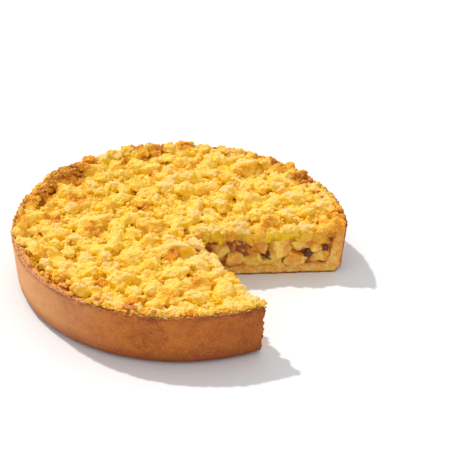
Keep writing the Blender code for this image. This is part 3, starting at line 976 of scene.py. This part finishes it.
def strewn(piece, count, seed, size_range, sink, steepest=-0.2, hollows=0.0):
    """Matrices for crumbs that lie on a piece, small ones more often. They can gather in hollows."""
    draw = np.random.default_rng(seed)
    points = points_of(piece)
    normals = normals_of(piece)
    fit = (normals[:, 2] > steepest) & (points[:, 2] > FILLING_TOP + 0.0005)
    radii = radii_of(points)
    fit &= (radii < inner_radius(points[:, 2]) - 0.001) | (points[:, 2] > RIM_HEIGHT - 0.001)
    chances = np.where(fit, np.exp(-hollows * stands_above(points, points, 20)), 0.0)
    chosen = draw.choice(len(points), count, p=chances / chances.sum())
    sizes = size_between(size_range, draw.random(count) ** 1.6)
    matrices = []
    for index, size in zip(chosen, sizes):
        stretch = draw.uniform(0.72, 1.2, 3) * size
        turn = Euler(draw.uniform(0.0, math.tau, 3))
        place = Vector(points[index] + normals[index] * size * (1.0 - 2.0 * sink))
        matrices.append(shape_matrix(place, stretch, turn))
    return matrices


def lay_ledge_bare(piece):
    """Draws the crumble in from the rim at the front left, where the ledge of the case shows."""
    points = points_of(piece)
    radii = np.maximum(radii_of(points), 0.001)
    turns = np.arctan2(points[:, 1], points[:, 0]) % math.tau
    start, full, fading, end = BARE_LEDGE
    share = fade(start, full, turns) * (1.0 - fade(fading, end, turns)) * fade(0.106, 0.120, radii)
    points[:, :2] *= (1.0 - share * BARE_LEDGE_WIDTH / radii)[:, None]
    set_points(piece, points)


def hold_in(piece):
    """Squeezes what stands too high, and draws in what would come out through the case's wall."""
    points = points_of(piece)
    over = np.clip(points[:, 2] - HIGHEST, 0.0, None)
    squeezed = HIGHEST_SOFTNESS * (1.0 - np.exp(-over / HIGHEST_SOFTNESS))
    points[:, 2] = np.minimum(points[:, 2], HIGHEST) + squeezed
    radii = np.maximum(radii_of(points), 0.001)
    wall = outer_radius(points[:, 2]) - BEHIND_WALL
    over_rim = fade(RIM_HEIGHT - 0.0005, RIM_HEIGHT + 0.0015, points[:, 2])
    allowed = wall * (1.0 - over_rim) + (RIM_RADIUS - 0.0002) * over_rim
    points[:, :2] *= np.minimum(1.0, allowed / radii)[:, None]
    set_points(piece, points)


def join(pieces):
    select_only(pieces[0])
    for piece in pieces:
        piece.select_set(True)
    bpy.ops.object.join()
    return bpy.context.object


def clods_on_bed(name, rows, seed):
    """The larger clods of one side, crumbs on them, fused to one mesh."""
    bare = gathered(name + "_bare", CLOD_SHAPES, [shape_matrix(*row) for row in rows])
    crumbs = strewn(bare, CRUMBS_ON_CLODS, seed, CLOD_CRUMB_SIZES, 0.52, -0.1)
    fused = join([bare, gathered(name + "_crumbs", CRUMB_SHAPES, crumbs)])
    modify(fused, "REMESH", mode="VOXEL", voxel_size=CLOD_GRAIN, use_smooth_shade=True)
    fused.name = name
    return fused


nut_lumps_made = gathered("nuts", CLOD_SHAPES, [shape_matrix(*nut) for nut in nuts])
crumble = join([crumble_bed(), nut_lumps_made])
modify(crumble, "REMESH", mode="VOXEL", voxel_size=ROUGH_GRAIN)
print("rough crumble has", triangles_of(crumble), "triangles")
small = strewn(crumble, CRUMBS_ON_BED, 31, BED_CRUMB_SIZES, 0.56)
crumble = join([crumble, gathered("small_crumbs", CRUMB_SHAPES, small)])
modify(crumble, "REMESH", mode="VOXEL", voxel_size=FINE_GRAIN, use_smooth_shade=True)
crumble.name = "crumble_body"
print("fine crumble has", triangles_of(crumble), "triangles")
clod_pieces = []
for name, west, east, seed in CLOD_STRIPS:
    strip = [lump for lump in lumps if west <= lump[0].x < east]
    clod_pieces.append(clods_on_bed(name, strip, seed))
    print(name, "has", triangles_of(clod_pieces[-1]), "triangles")

# %% [markdown]
# The underside of the crumble lies on the apples and never shows, so it is cut flat. The fine relief
# is pushed into the rest: small cells for crumbs and clouds for their unevenness. Five numbers are kept
# for the colours: how far a point stands above its wider and its nearer surroundings, how long the oven
# browned it together with painted shade on some spots and along the broken edge, how near the hot rim
# it lies, and one number that all points of a lump share.

# %% Relief and browning of the crumble
# Toasted spots: middle, reach and strength. Many lie on shaded sides of clods, so they are partly browning
# and partly painted shade.
TOASTED_AND_SHADED_SPOTS = (
    (-0.0827, 0.0381, 0.0091, 0.95), (-0.0983, 0.0132, 0.0091, 0.90), (-0.0679, -0.0063, 0.0091, 0.80),
    (-0.0303, 0.0272, 0.0091, 0.75), (-0.0040, -0.0466, 0.0063, 0.90), (-0.0239, -0.0591, 0.0054, 0.60),
    (-0.0520, -0.0577, 0.0054, 0.60), (-0.0586, -0.0753, 0.0063, 0.70), (-0.0440, -0.0767, 0.0027, 0.70),
    (-0.0217, -0.1016, 0.0045, 0.80), (0.0394, -0.0686, 0.0072, 0.50), (-0.0357, 0.1180, 0.0054, 0.80),
    (-0.0189, 0.1160, 0.0045, 0.60), (0.0038, 0.1190, 0.0063, 0.55), (0.0384, 0.0945, 0.0054, 0.50),
    (0.0545, 0.0826, 0.0072, 0.60), (0.0701, 0.0014, 0.0072, 0.45), (-0.0304, 0.1080, 0.0054, 0.60),
    (-0.0250, 0.0840, 0.0054, 0.55), (-0.0081, -0.1003, 0.0072, 0.80), (-0.0337, -0.1054, 0.0072, 1.10),
    (-0.0539, 0.0287, 0.0063, 0.55), (0.0980, 0.0694, 0.0063, 0.90), (0.1119, 0.0090, 0.0072, 0.45),
    (0.0800, 0.0970, 0.0054, 1.10), (-0.0950, 0.0780, 0.0110, 1.10), (-0.0921, 0.0854, 0.0072, 1.20),
    (-0.0831, 0.0721, 0.0054, 1.20), (-0.0999, 0.0687, 0.0045, 1.30), (-0.1178, -0.0123, 0.0045, 0.70),
    (-0.1019, -0.0410, 0.0072, 0.55), (-0.1230, 0.0041, 0.0072, 0.55), (-0.1210, 0.0301, 0.0072, 0.50),
    (0.0114, -0.0807, 0.0045, 0.50), (-0.0514, 0.0907, 0.0063, 0.60), (-0.0343, 0.0656, 0.0054, 0.50),
    (-0.1080, 0.0440, 0.0080, 0.90), (-0.1000, 0.0560, 0.0070, 0.70),
)
# Painted warm shade on the crumble's broken edge, which lies in the shade.
WARM_SHADE_UNDER_EDGE = 0.34


def flat_underside(piece, height):
    select_only(piece)
    bpy.ops.object.mode_set(mode="EDIT")
    bpy.ops.mesh.select_all(action="SELECT")
    bpy.ops.mesh.bisect(
        plane_co=(0.0, 0.0, height), plane_no=(0.0, 0.0, 1.0), use_fill=True, clear_inner=True
    )
    bpy.ops.object.mode_set(mode="OBJECT")


def lump_numbers(points, seed):
    """One random number for each lump, from 0 to 1, given to the points of that lump."""
    draw = random.Random(seed)
    nearest = np.full(len(points), np.inf)
    numbers = np.zeros(len(points))
    for place, half_sizes, _ in lumps:
        distance = np.linalg.norm(points - np.array(place), axis=1) / max(half_sizes)
        closer = distance < nearest
        nearest[closer] = distance[closer]
        numbers[closer] = draw.random()
    return numbers


def keep_colour_numbers(piece, ground):
    """Numbers for the material. The ground is every point of the crumble's surface."""
    points = points_of(piece)
    remember(piece, "above", stands_above(points, ground, 40))
    remember(piece, "nook", stands_above(points, ground, 4))
    toast_and_shade = np.zeros(len(points))
    # The kept number for toasting is partly browning and partly painted shade: on clod sides and, below,
    # along the broken edge.
    for x, y, reach, amount in TOASTED_AND_SHADED_SPOTS:
        distance = np.hypot(points[:, 0] - x, points[:, 1] - y)
        toast_and_shade = np.maximum(toast_and_shade, amount * (1.0 - fade(0.5 * reach, 1.5 * reach, distance)))
    beside_cut = 1.0 - fade(0.0030, 0.0070, depths_behind_cut(points))
    shaded_edge = beside_cut * (1.0 - fade(0.0370, 0.0395, points[:, 2]))
    remember(piece, "toast_and_shade", np.maximum(toast_and_shade, WARM_SHADE_UNDER_EDGE * shaded_edge))
    remember(piece, "edge", fade(0.108, 0.1275, radii_of(points)))
    remember(piece, "batch", lump_numbers(points, 3))


CELLS = relief("crumb_cells", "VORONOI", 0.0026)
CLOUDS = relief("crumb_clouds", "CLOUDS", 0.0020, noise_depth=2)


def roughen(piece, group=""):
    """The finest relief: cells for crumbs and clouds for their unevenness."""
    push(piece, CELLS, -0.0005, group, 0.32)
    push(piece, CLOUDS, 0.0005, group)
    lay_ledge_bare(piece)
    hold_in(piece)


flat_underside(crumble, FILLING_TOP - 0.0005)
top_weights = fade(0.0, 0.0012, points_of(crumble)[:, 2] - FILLING_TOP)
roughen(crumble, weigh(crumble, "top", top_weights))
for piece in clod_pieces:
    roughen(piece)
GROUND = np.concatenate([points_of(piece) for piece in (crumble, *clod_pieces)])
for piece in (crumble, *clod_pieces):
    keep_colour_numbers(piece, GROUND)
print("crumble body has", triangles_of(crumble), "triangles")

# %% [markdown]
# Butter and flour bake to a bright yellow. The deeper yellow in the creases is painted shade, standing
# for light that bounced from crumb to crumb. Faces that look up get a paler painted lit colour and faces
# that turn sideways a more saturated painted shaded colour. The tips that stand highest get a painted
# highlight and, where the oven reached them, turn golden, and beside the hot tin everything is browner.
# Some toasted spots and the broken edge also carry painted warm shade. The material follows the kept
# numbers and adds a sandy grain. The fused pieces let some light through, which softens their shadows.

# %% Crumble material
# Painted light and shade: the top and pale colours light the faces that look up and the highest tips, the
# side and deep colours shade sideways faces and creases. The pale and deep colours also tint the sandy
# grain, and the toasted colour is partly painted shade.
CRUMB_LIT_TOP = colour(246, 202, 106)
CRUMB_PALE_AND_HIGHLIGHT = colour(248, 202, 148)
CRUMB_SHADED_SIDE = colour(255, 212, 62)
CRUMB_DEEP_SHADE_AND_GRIT = colour(255, 205, 26)
CRUMB_GOLD = colour(243, 188, 74)
CRUMB_TOAST_AND_SHADE = colour(224, 140, 50)
CRUMB_BROWN = colour(162, 84, 42)


def crumble_material(name, extra_toast, softness):
    paint = Paint(name, Subsurface_Weight=softness, Subsurface_Scale=0.0034, Specular_IOR_Level=0.15)
    paint.surface.inputs["Subsurface Radius"].default_value = (1.0, 0.60, 0.06)
    place = paint.place()
    upwards = paint.along(paint.node("ShaderNodeNewGeometry", output="Normal"), "Z")
    wide = paint.speckle(place, 0.026, 2.0)
    middle = paint.speckle(place, 0.0070, 3.0, 0.6)
    fine = paint.speckle(place, 0.0013, 3.0, 0.7)
    batch = paint.saved("batch")
    nook = paint.saved("nook") + 0.0008 * (fine - 0.5)
    above = paint.saved("above") + 0.0012 * (middle - 0.5)
    # Painted shade: creases turn to the deep, saturated yellow that stands for light bounced between
    # crumbs.
    crease_shade = 1.0 - paint.between(nook + 0.25 * above, -0.0020, 0.0008)
    peak = paint.between(above, 0.0002, 0.0045)
    # Painted light: faces that look up take the paler lit colours, sideways faces the shaded ones, and the
    # highest tips a painted highlight.
    lit_top_share = paint.between(upwards + 0.3 * (fine - 0.5), 0.15, 0.80)
    pale = 0.45 * batch + 0.6 * (wide - 0.5) + 0.6 * (middle - 0.5) + 0.40 * peak
    top = paint.mix(CRUMB_LIT_TOP, CRUMB_PALE_AND_HIGHLIGHT, paint.between(pale, 0.10, 0.75))
    side = paint.mix(CRUMB_SHADED_SIDE, CRUMB_DEEP_SHADE_AND_GRIT, crease_shade)
    dough = paint.mix(side, top, lit_top_share * (1.0 - 0.6 * crease_shade))
    # The browning number also carries painted shade from the spots and the broken edge.
    heat_and_shade = 1.15 * paint.saved("toast_and_shade") + 0.30 * paint.saved("edge") + extra_toast
    heat_and_shade = heat_and_shade * (0.80 + 0.6 * peak) + 0.5 * (wide - 0.60) + 0.7 * (middle - 0.59)
    heat_and_shade = heat_and_shade + 0.40 * paint.between(batch, 0.82, 0.90)
    dough = paint.mix(dough, CRUMB_GOLD, paint.between(heat_and_shade, 0.10, 0.40))
    dough = paint.mix(dough, CRUMB_TOAST_AND_SHADE, paint.between(heat_and_shade, 0.35, 0.78))
    dough = paint.mix(dough, CRUMB_BROWN, 0.8 * paint.between(heat_and_shade, 0.90, 1.25))
    grit = paint.grains(place, 0.0017) + 0.3 * fine
    dough = paint.mix(dough, CRUMB_PALE_AND_HIGHLIGHT, 0.35 * paint.between(fine, 0.54, 0.70))
    dough = paint.mix(dough, CRUMB_DEEP_SHADE_AND_GRIT, 0.42 * paint.between(grit, 0.55, 0.80))
    normal = paint.bump(fine - 1.1 * grit, 0.0009, 0.9)
    return paint.finish(dough, 0.88 - 0.10 * peak, normal)


CRUMBLE = crumble_material("butter_crumble", 0.0, 0.40)
for piece in (crumble, *clod_pieces):
    piece.data.materials.clear()
    piece.data.materials.append(CRUMBLE)
    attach(piece, "root")
    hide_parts("crumble")
print("crumble material has", len(CRUMBLE.node_tree.nodes), "nodes")

# %% [markdown]
# At the two cuts the crumble broke instead of being cut. Clods bulge out of its edge and hang unevenly
# over the apples, and the last ones lie on the end of the crust. They carry crumbs too, and are one
# more fused piece, set against the flat edge of the crumble's body.

# %% Broken edge of the crumble
EDGE_SIZES = (0.0026, 0.0064)
EDGE_PITCH = 0.0052
EDGE_HEIGHTS = (0.0288, 0.0395)
EDGE_GRAIN = 0.00086
CRUMBS_ON_EDGE = 1300
CRUST_END_CLODS = ((0.0142, 0.0385, 0.0056), (0.0087, 0.0410, 0.0050), (0.0050, 0.0422, 0.0034))


def edge_clod(draw, angle, side, reach, height, half_width):
    """A clod whose front stands just proud of the cut."""
    half_sizes = Vector([half_width * draw.uniform(0.85, 1.15) for _ in range(3)])
    place = CUT_POINT + direction(angle) * reach
    place += into_pie(angle, side) * (min(half_sizes) * draw.uniform(0.72, 0.95))
    place.z = height
    return shape_matrix(place, half_sizes, Euler((0.0, 0.0, draw.uniform(0.0, math.tau))))


def cut_length(angle):
    """From the inner end of a cut to the rim's outer edge."""
    along = CUT_POINT.dot(direction(angle))
    return math.sqrt(RIM_RADIUS ** 2 - CUT_POINT.length_squared + along ** 2) - along


def edge_clods(draw):
    matrices = []
    for angle, side in CUTS:
        reach = 0.004
        while reach < 0.107:
            half_width = draw.uniform(*EDGE_SIZES)
            height = draw.uniform(*EDGE_HEIGHTS)
            matrices.append(edge_clod(draw, angle, side, reach, height, half_width))
            reach += EDGE_PITCH * draw.uniform(0.6, 1.2)
        for from_rim, height, half_width in CRUST_END_CLODS:
            reach = cut_length(angle) - from_rim
            matrices.append(edge_clod(draw, angle, side, reach, height, half_width))
    return matrices


broken_edge = gathered("broken_edge", CLOD_SHAPES, edge_clods(random.Random(71)))
edge_crumbs = strewn(broken_edge, CRUMBS_ON_EDGE, 73, CLOD_CRUMB_SIZES, 0.45, -0.8)
broken_edge = join([broken_edge, gathered("edge_crumbs", CRUMB_SHAPES, edge_crumbs)])
modify(broken_edge, "REMESH", mode="VOXEL", voxel_size=EDGE_GRAIN, use_smooth_shade=True)
roughen(broken_edge)
keep_colour_numbers(broken_edge, GROUND)
broken_edge.data.materials.append(CRUMBLE)
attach(broken_edge, "root")
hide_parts("crumble")
print("broken edge has", triangles_of(broken_edge), "triangles")

# %% [markdown]
# Loose crumbs lie on the clods and in the creases. They stay separate shapes, so their edges are
# crisp. Grains of a millimetre fill the gaps between them. Each kind is one piece.

# %% Loose crumbs and grains
LOOSE_CRUMBS = 1700
LOOSE_CRUMB_SIZES = (0.0009, 0.0019)
GRAINS = 1500
GRAIN_SIZES = (0.0005, 0.0009)

LOOSE = crumble_material("loose_crumble", 0.0, 0.0)
crumb_places = strewn(crumble, LOOSE_CRUMBS, 47, LOOSE_CRUMB_SIZES, 0.30, 0.1, hollows=300.0)
grain_places = strewn(crumble, GRAINS, 53, GRAIN_SIZES, 0.30, 0.1, hollows=200.0)
crumbs = gathered("loose_crumbs", CRUMB_SHAPES, crumb_places)
grains = gathered("grains", GRAIN_SHAPES, grain_places)
for piece in (crumbs, grains):
    hold_in(piece)
    keep_colour_numbers(piece, GROUND)
    piece.data.materials.append(LOOSE)
    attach(piece, "root")
    print(piece.name, "has", triangles_of(piece), "triangles")

# %% [markdown]
# Crumbs also fell onto the rim of the case and baked there, browner and sandier than the rest. They
# hide the joint between crust and crumble. Few fell on the bare stretch at the front left. The far side
# also carries lumps, which make its outline uneven.

# %% Crumbs on the rim
RIM_CRUMBS = 1500
RIM_CRUMB_SIZES = (0.0007, 0.0024)
RIM_CRUMB_RING = (0.1195, 0.1288)
BACK_OF_RIM = (math.radians(35.0), math.radians(165.0))
BARE_SHARE = 0.12
BACK_LUMPS = 46
BACK_LUMP_SIZES = (0.0026, 0.0046)


def rim_crumb_matrices(draw):
    """Crumbs in a ring over the rim: larger at the back, few where the rim is bare."""
    matrices = []
    while len(matrices) < RIM_CRUMBS:
        angle = draw.uniform(0.0, math.tau)
        radius = draw.triangular(*RIM_CRUMB_RING, 0.1225)
        if BARE_LEDGE[0] < angle < BARE_LEDGE[2] and draw.random() > BARE_SHARE and radius > 0.1205:
            continue
        size = size_between(RIM_CRUMB_SIZES, draw.random() ** 1.5)
        if BACK_OF_RIM[0] < angle < BACK_OF_RIM[1]:
            size *= draw.uniform(1.0, 1.7)
        place = direction(angle) * min(radius, RIM_RADIUS - 0.0006 - size)
        if depth_behind_cut(*place.xy) < 1.2 * size:
            continue
        fall = RIM_FALL * (1.0 - smooth_step(0.1225, 0.1275, radius))
        lift = case_unevenness(angle, RIM_HEIGHT)[1] - fall
        place.z = RIM_HEIGHT + lift + size * draw.uniform(0.1, 0.7)
        stretch = Vector([size * draw.uniform(0.75, 1.2) for _ in range(3)])
        turn = Euler([draw.uniform(0.0, math.tau) for _ in range(3)])
        matrices.append(shape_matrix(place, stretch, turn))
    return matrices


def back_lump_matrices(draw):
    """Lumps that sit on the far side of the rim and make its outline uneven."""
    matrices = []
    for _ in range(BACK_LUMPS):
        angle = draw.uniform(BACK_OF_RIM[0], BACK_OF_RIM[1])
        size = draw.uniform(*BACK_LUMP_SIZES)
        place = direction(angle) * draw.uniform(0.1180, 0.1290 - 0.6 * size)
        place.z = RIM_HEIGHT + size * draw.uniform(0.1, 0.6)
        stretch = Vector((size * draw.uniform(1.0, 1.4), size, size * draw.uniform(0.7, 0.9)))
        matrices.append(shape_matrix(place, stretch, Euler((0.0, 0.0, draw.uniform(0.0, math.tau)))))
    return matrices


back_lumps = gathered("back_lumps", CLOD_SHAPES, back_lump_matrices(random.Random(67)))
rim_crumbs = gathered("rim_crumbs", CRUMB_SHAPES, rim_crumb_matrices(random.Random(61)))
RIM_CRUMBLE = crumble_material("rim_crumble", 0.12, 0.0)
for piece in (rim_crumbs, back_lumps):
    hold_in(piece)
    keep_colour_numbers(piece, GROUND)
    piece.data.materials.append(RIM_CRUMBLE)
    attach(piece, "root")
    print(piece.name, "has", triangles_of(piece), "triangles")

# %% [markdown]
# Where the rim broke a little, thin flakes of browned pastry lie between the crumbs. A flake is a crumb
# pressed flat, so its outline is uneven. Most lie at the back left and along the front.

# %% Flakes of pastry on the rim
FLAKE_STRETCHES = ((128.0, 162.0, 16), (205.0, 262.0, 8), (8.0, 40.0, 5))
FLAKE_HALF_LENGTH = (0.0020, 0.0050)
FLAKE_HALF_THICKNESS = 0.0006
FLAKE_GOLD = colour(234, 164, 86)
FLAKE_BROWN = colour(186, 98, 44)


def flake_material():
    paint = Paint("browned_flake", Specular_IOR_Level=0.2)
    tone = paint.between(paint.speckle(paint.place(), 0.006, 3.0, 0.6), 0.40, 0.62)
    return paint.finish(paint.mix(FLAKE_GOLD, FLAKE_BROWN, tone), 0.75, paint.bump(tone, 0.0004, 0.5))


def flake_matrices(draw):
    matrices = []
    for first, last, count in FLAKE_STRETCHES:
        for _ in range(count):
            angle = math.radians(draw.uniform(first, last))
            half_length = draw.uniform(*FLAKE_HALF_LENGTH)
            place = direction(angle) * draw.uniform(0.1190, 0.1265)
            place.z = RIM_HEIGHT + draw.uniform(0.0004, 0.0022)
            half_sizes = Vector((half_length, half_length * draw.uniform(0.35, 0.6), FLAKE_HALF_THICKNESS))
            tilts = [draw.uniform(-0.4, 0.4) for _ in range(2)]
            turn = Euler((*tilts, angle + draw.uniform(0.9, 2.2)))
            matrices.append(shape_matrix(place, half_sizes, turn))
    return matrices


flakes = gathered("pastry_flakes", CRUMB_SHAPES, flake_matrices(random.Random(83)))
hold_in(flakes)
flakes.data.materials.append(flake_material())
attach(flakes, "root")
print("flakes have", triangles_of(flakes), "triangles")

# %% [markdown]
# Under the crumble, the filling is apple that has slumped into its own syrup. Most of it never
# shows. The syrup is one dark glossy core that fills the case and stops just short of the two cuts.

# %% Syrup core of the filling
CORE_RECESS = 0.0032
CORE_GRAIN = 0.0012
SYRUP_GOLD = colour(232, 156, 48)
SYRUP_BROWN = colour(140, 60, 20)
SYRUP_PALE = colour(240, 180, 70)


def syrup_material():
    paint = Paint("apple_syrup", Subsurface_Weight=0.15, Subsurface_Scale=0.004)
    place = paint.place()
    wide = paint.speckle(place, 0.011, 3.0, 0.6)
    fine = paint.speckle(place, 0.0018, 3.0, 0.6)
    syrup = paint.mix(SYRUP_GOLD, SYRUP_BROWN, paint.between(wide, 0.42, 0.58))
    syrup = paint.mix(syrup, SYRUP_PALE, 0.6 * paint.between(fine, 0.5, 0.75))
    return paint.finish(syrup, 0.42 + 0.2 * fine, paint.bump(fine + wide, 0.0010, 0.7))


def filling_core():
    low = BASE_THICKNESS - 0.001
    core = new_piece(
        "syrup_core",
        bpy.ops.mesh.primitive_cone_add,
        vertices=96,
        radius1=inner_radius(low) + 0.002,
        radius2=inner_radius(FILLING_TOP) + 0.002,
        depth=FILLING_TOP - low,
        location=(0.0, 0.0, 0.5 * (FILLING_TOP + low)),
    )
    cut_slice(core, CORE_RECESS)
    modify(core, "REMESH", mode="VOXEL", voxel_size=CORE_GRAIN, use_smooth_shade=True)
    points = points_of(core)
    near = depths_behind_cut(points)
    group = weigh(core, "cut", 1.0 - fade(0.0036, 0.0066, near))
    push(core, relief("syrup_folds", "CLOUDS", 0.0070, noise_depth=2), 0.0036, group, 0.62)
    push(core, relief("syrup_pips", "VORONOI", 0.0045), -0.0012, group, 0.30)
    deep_inside = np.where((near > 0.012) | (points[:, 2] < BASE_THICKNESS), 1.0, 0.0)
    thin_hidden_part(core, "hidden", deep_inside, 0.35)
    return core


core = filling_core()
core.data.materials.append(syrup_material())
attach(core, "root")
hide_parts("apple_filling")
print("syrup core has", triangles_of(core), "triangles")

# %% [markdown]
# Along both cuts the knife went through soft apple pieces. Each is a cube with blunt edges, slumped
# and dented by cooking, and no two lie at the same tilt. Raisins sit in the syrup between them. The
# pieces are placed one by one, by how far along the cut and how high in the filling they sit.

# %% Apple pieces and raisins at the cuts
APPLES_AT_FAR_CUT = (
    (0.0130, 0.0130, 0.0066, 0.0052, 0.25), (0.0245, 0.0195, 0.0070, 0.0056, -0.35),
    (0.0385, 0.0250, 0.0058, 0.0024, 0.45), (0.0360, 0.0130, 0.0066, 0.0050, 0.20),
    (0.0500, 0.0118, 0.0070, 0.0060, -0.30), (0.0545, 0.0225, 0.0062, 0.0046, 0.30),
    (0.0650, 0.0110, 0.0084, 0.0046, -0.18), (0.0700, 0.0212, 0.0086, 0.0060, 0.12),
    (0.0835, 0.0120, 0.0068, 0.0052, 0.40), (0.0850, 0.0235, 0.0056, 0.0040, -0.25),
    (0.0985, 0.0235, 0.0060, 0.0042, 0.30), (0.1030, 0.0130, 0.0078, 0.0048, -0.22),
)
APPLES_AT_NEAR_CUT = (
    (0.0150, 0.0200, 0.0070, 0.0054, 0.30), (0.0190, 0.0115, 0.0064, 0.0044, -0.20),
    (0.0330, 0.0145, 0.0078, 0.0060, 0.25), (0.0365, 0.0245, 0.0056, 0.0036, -0.40),
    (0.0500, 0.0120, 0.0072, 0.0050, -0.30), (0.0520, 0.0230, 0.0072, 0.0050, 0.15),
    (0.0680, 0.0160, 0.0080, 0.0062, 0.35), (0.0830, 0.0115, 0.0066, 0.0046, -0.15),
    (0.0850, 0.0220, 0.0070, 0.0052, -0.35), (0.1000, 0.0170, 0.0074, 0.0058, 0.20),
)
RAISINS_AT_FAR_CUT = (
    (0.0600, 0.0168, 0.0046, 0.0028, 0.5), (0.0925, 0.0170, 0.0040, 0.0036, -0.6),
    (0.1050, 0.0215, 0.0030, 0.0026, 0.3), (0.0760, 0.0110, 0.0040, 0.0026, 0.1),
)
RAISINS_AT_NEAR_CUT = (
    (0.0430, 0.0190, 0.0044, 0.0032, 0.4), (0.0760, 0.0205, 0.0046, 0.0032, -0.3),
    (0.0950, 0.0240, 0.0040, 0.0028, 0.2),
)
APPLE_GROWTH = 1.14
APPLE_DEPTH = 0.0068
RAISIN_DEPTH = 0.0034
APPLE_BREAKS = 3
# The flesh colours are partly the apple's own and partly painted warm light, thrown back onto the cut by
# the slice that was taken out.
FLESH_PALE = colour(254, 218, 124)
FLESH = colour(255, 206, 84)
FLESH_DEEP = colour(238, 160, 44)
FLESH_BROWN = colour(206, 120, 40)
RAISIN_DARK = colour(74, 30, 14)
RAISIN_LIGHT = colour(130, 62, 28)


def apple_shape(index):
    """A blunt cube about 2 units wide, softened and dented."""
    draw = random.Random(40 + index)
    middle = Vector((9.0 * index, 4.0, 2.0))
    cube = new_piece(f"apple_{index}", bpy.ops.mesh.primitive_cube_add, size=2.0, location=middle)
    corners = []
    for _ in range(APPLE_BREAKS):
        normal = Vector([draw.choice((-1.0, 1.0)) * draw.uniform(0.3, 1.0) for _ in range(3)])
        corners.append((normal.normalized(), draw.uniform(0.95, 1.20)))
    break_off(cube, middle, corners)
    modify(cube, "REMESH", mode="VOXEL", voxel_size=0.10)
    modify(cube, "SMOOTH", factor=0.7, iterations=5)
    push(cube, relief(f"apple_slump_{index}", "CLOUDS", 1.2, noise_depth=1), 0.62)
    push(cube, relief(f"apple_flesh_{index}", "CLOUDS", 0.30, noise_depth=2), 0.12)
    return taken_shape(cube)


def pieces_at_cut(rows, half_depth, angle, side, draw, sunk):
    """Matrices for pieces beside a cut. The sunk length says how far each one stays behind it."""
    matrices = []
    for reach, height, half_length, half_height, tilt in rows:
        inwards = half_depth + draw.uniform(*sunk)
        place = CUT_POINT + direction(angle) * reach + into_pie(angle, side) * inwards
        place.z = height
        turn = Euler((draw.uniform(-0.45, 0.45), tilt * side, angle + draw.uniform(-0.6, 0.6)))
        half_sizes = Vector((half_length, half_depth, half_height)) * APPLE_GROWTH
        matrices.append(shape_matrix(place, half_sizes, turn))
    return matrices


def apple_material():
    paint = Paint("cooked_apple", Subsurface_Weight=0.40, Subsurface_Scale=0.006, Coat_Weight=0.12)
    paint.surface.inputs["Subsurface Radius"].default_value = (1.0, 0.6, 0.22)
    place = paint.place()
    wide = paint.speckle(place, 0.014, 2.0)
    middle = paint.speckle(place, 0.0048, 3.0, 0.6)
    fine = paint.speckle(place, 0.0018, 3.0, 0.6)
    flesh = paint.mix(FLESH, FLESH_DEEP, paint.between(wide, 0.42, 0.58))
    flesh = paint.mix(flesh, FLESH_PALE, 0.6 * paint.between(middle, 0.52, 0.66))
    flesh = paint.mix(flesh, FLESH_BROWN, 0.55 * paint.between(0.4 * fine + middle, 0.72, 0.90))
    return paint.finish(flesh, 0.36 + 0.2 * fine, paint.bump(fine + middle, 0.0012, 0.7))


def raisin_material():
    paint = Paint("raisin_skin", Coat_Weight=0.2)
    place = paint.place()
    folds = paint.speckle(place, 0.0022, 3.0, 0.6)
    skin = paint.mix(RAISIN_DARK, RAISIN_LIGHT, paint.between(folds, 0.4, 0.66))
    return paint.finish(skin, 0.38, paint.bump(folds, 0.0012, 0.9))


placing = random.Random(8)
apple_places = []
raisin_places = []
apple_rows = (APPLES_AT_FAR_CUT, APPLES_AT_NEAR_CUT)
raisin_rows = (RAISINS_AT_FAR_CUT, RAISINS_AT_NEAR_CUT)
for (angle, side), apple_row, raisin_row in zip(reversed(CUTS), apple_rows, raisin_rows):
    apple_places += pieces_at_cut(apple_row, APPLE_DEPTH, angle, side, placing, (-0.0002, 0.0044))
    raisin_places += pieces_at_cut(raisin_row, RAISIN_DEPTH, angle, side, placing, (-0.0014, 0.0004))
apples = gathered("apple_pieces", [apple_shape(index) for index in range(7)], apple_places)
apples.data.materials.append(apple_material())
raisins = gathered("raisins", [dented_ball("raisin", 4, (1.0, 2.0, 3.0), 0.5, 0.6)], raisin_places)
raisins.data.materials.append(raisin_material())
for piece in (apples, raisins):
    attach(piece, "root")
    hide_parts("apple_filling")
    print(piece.name, "has", triangles_of(piece), "triangles")
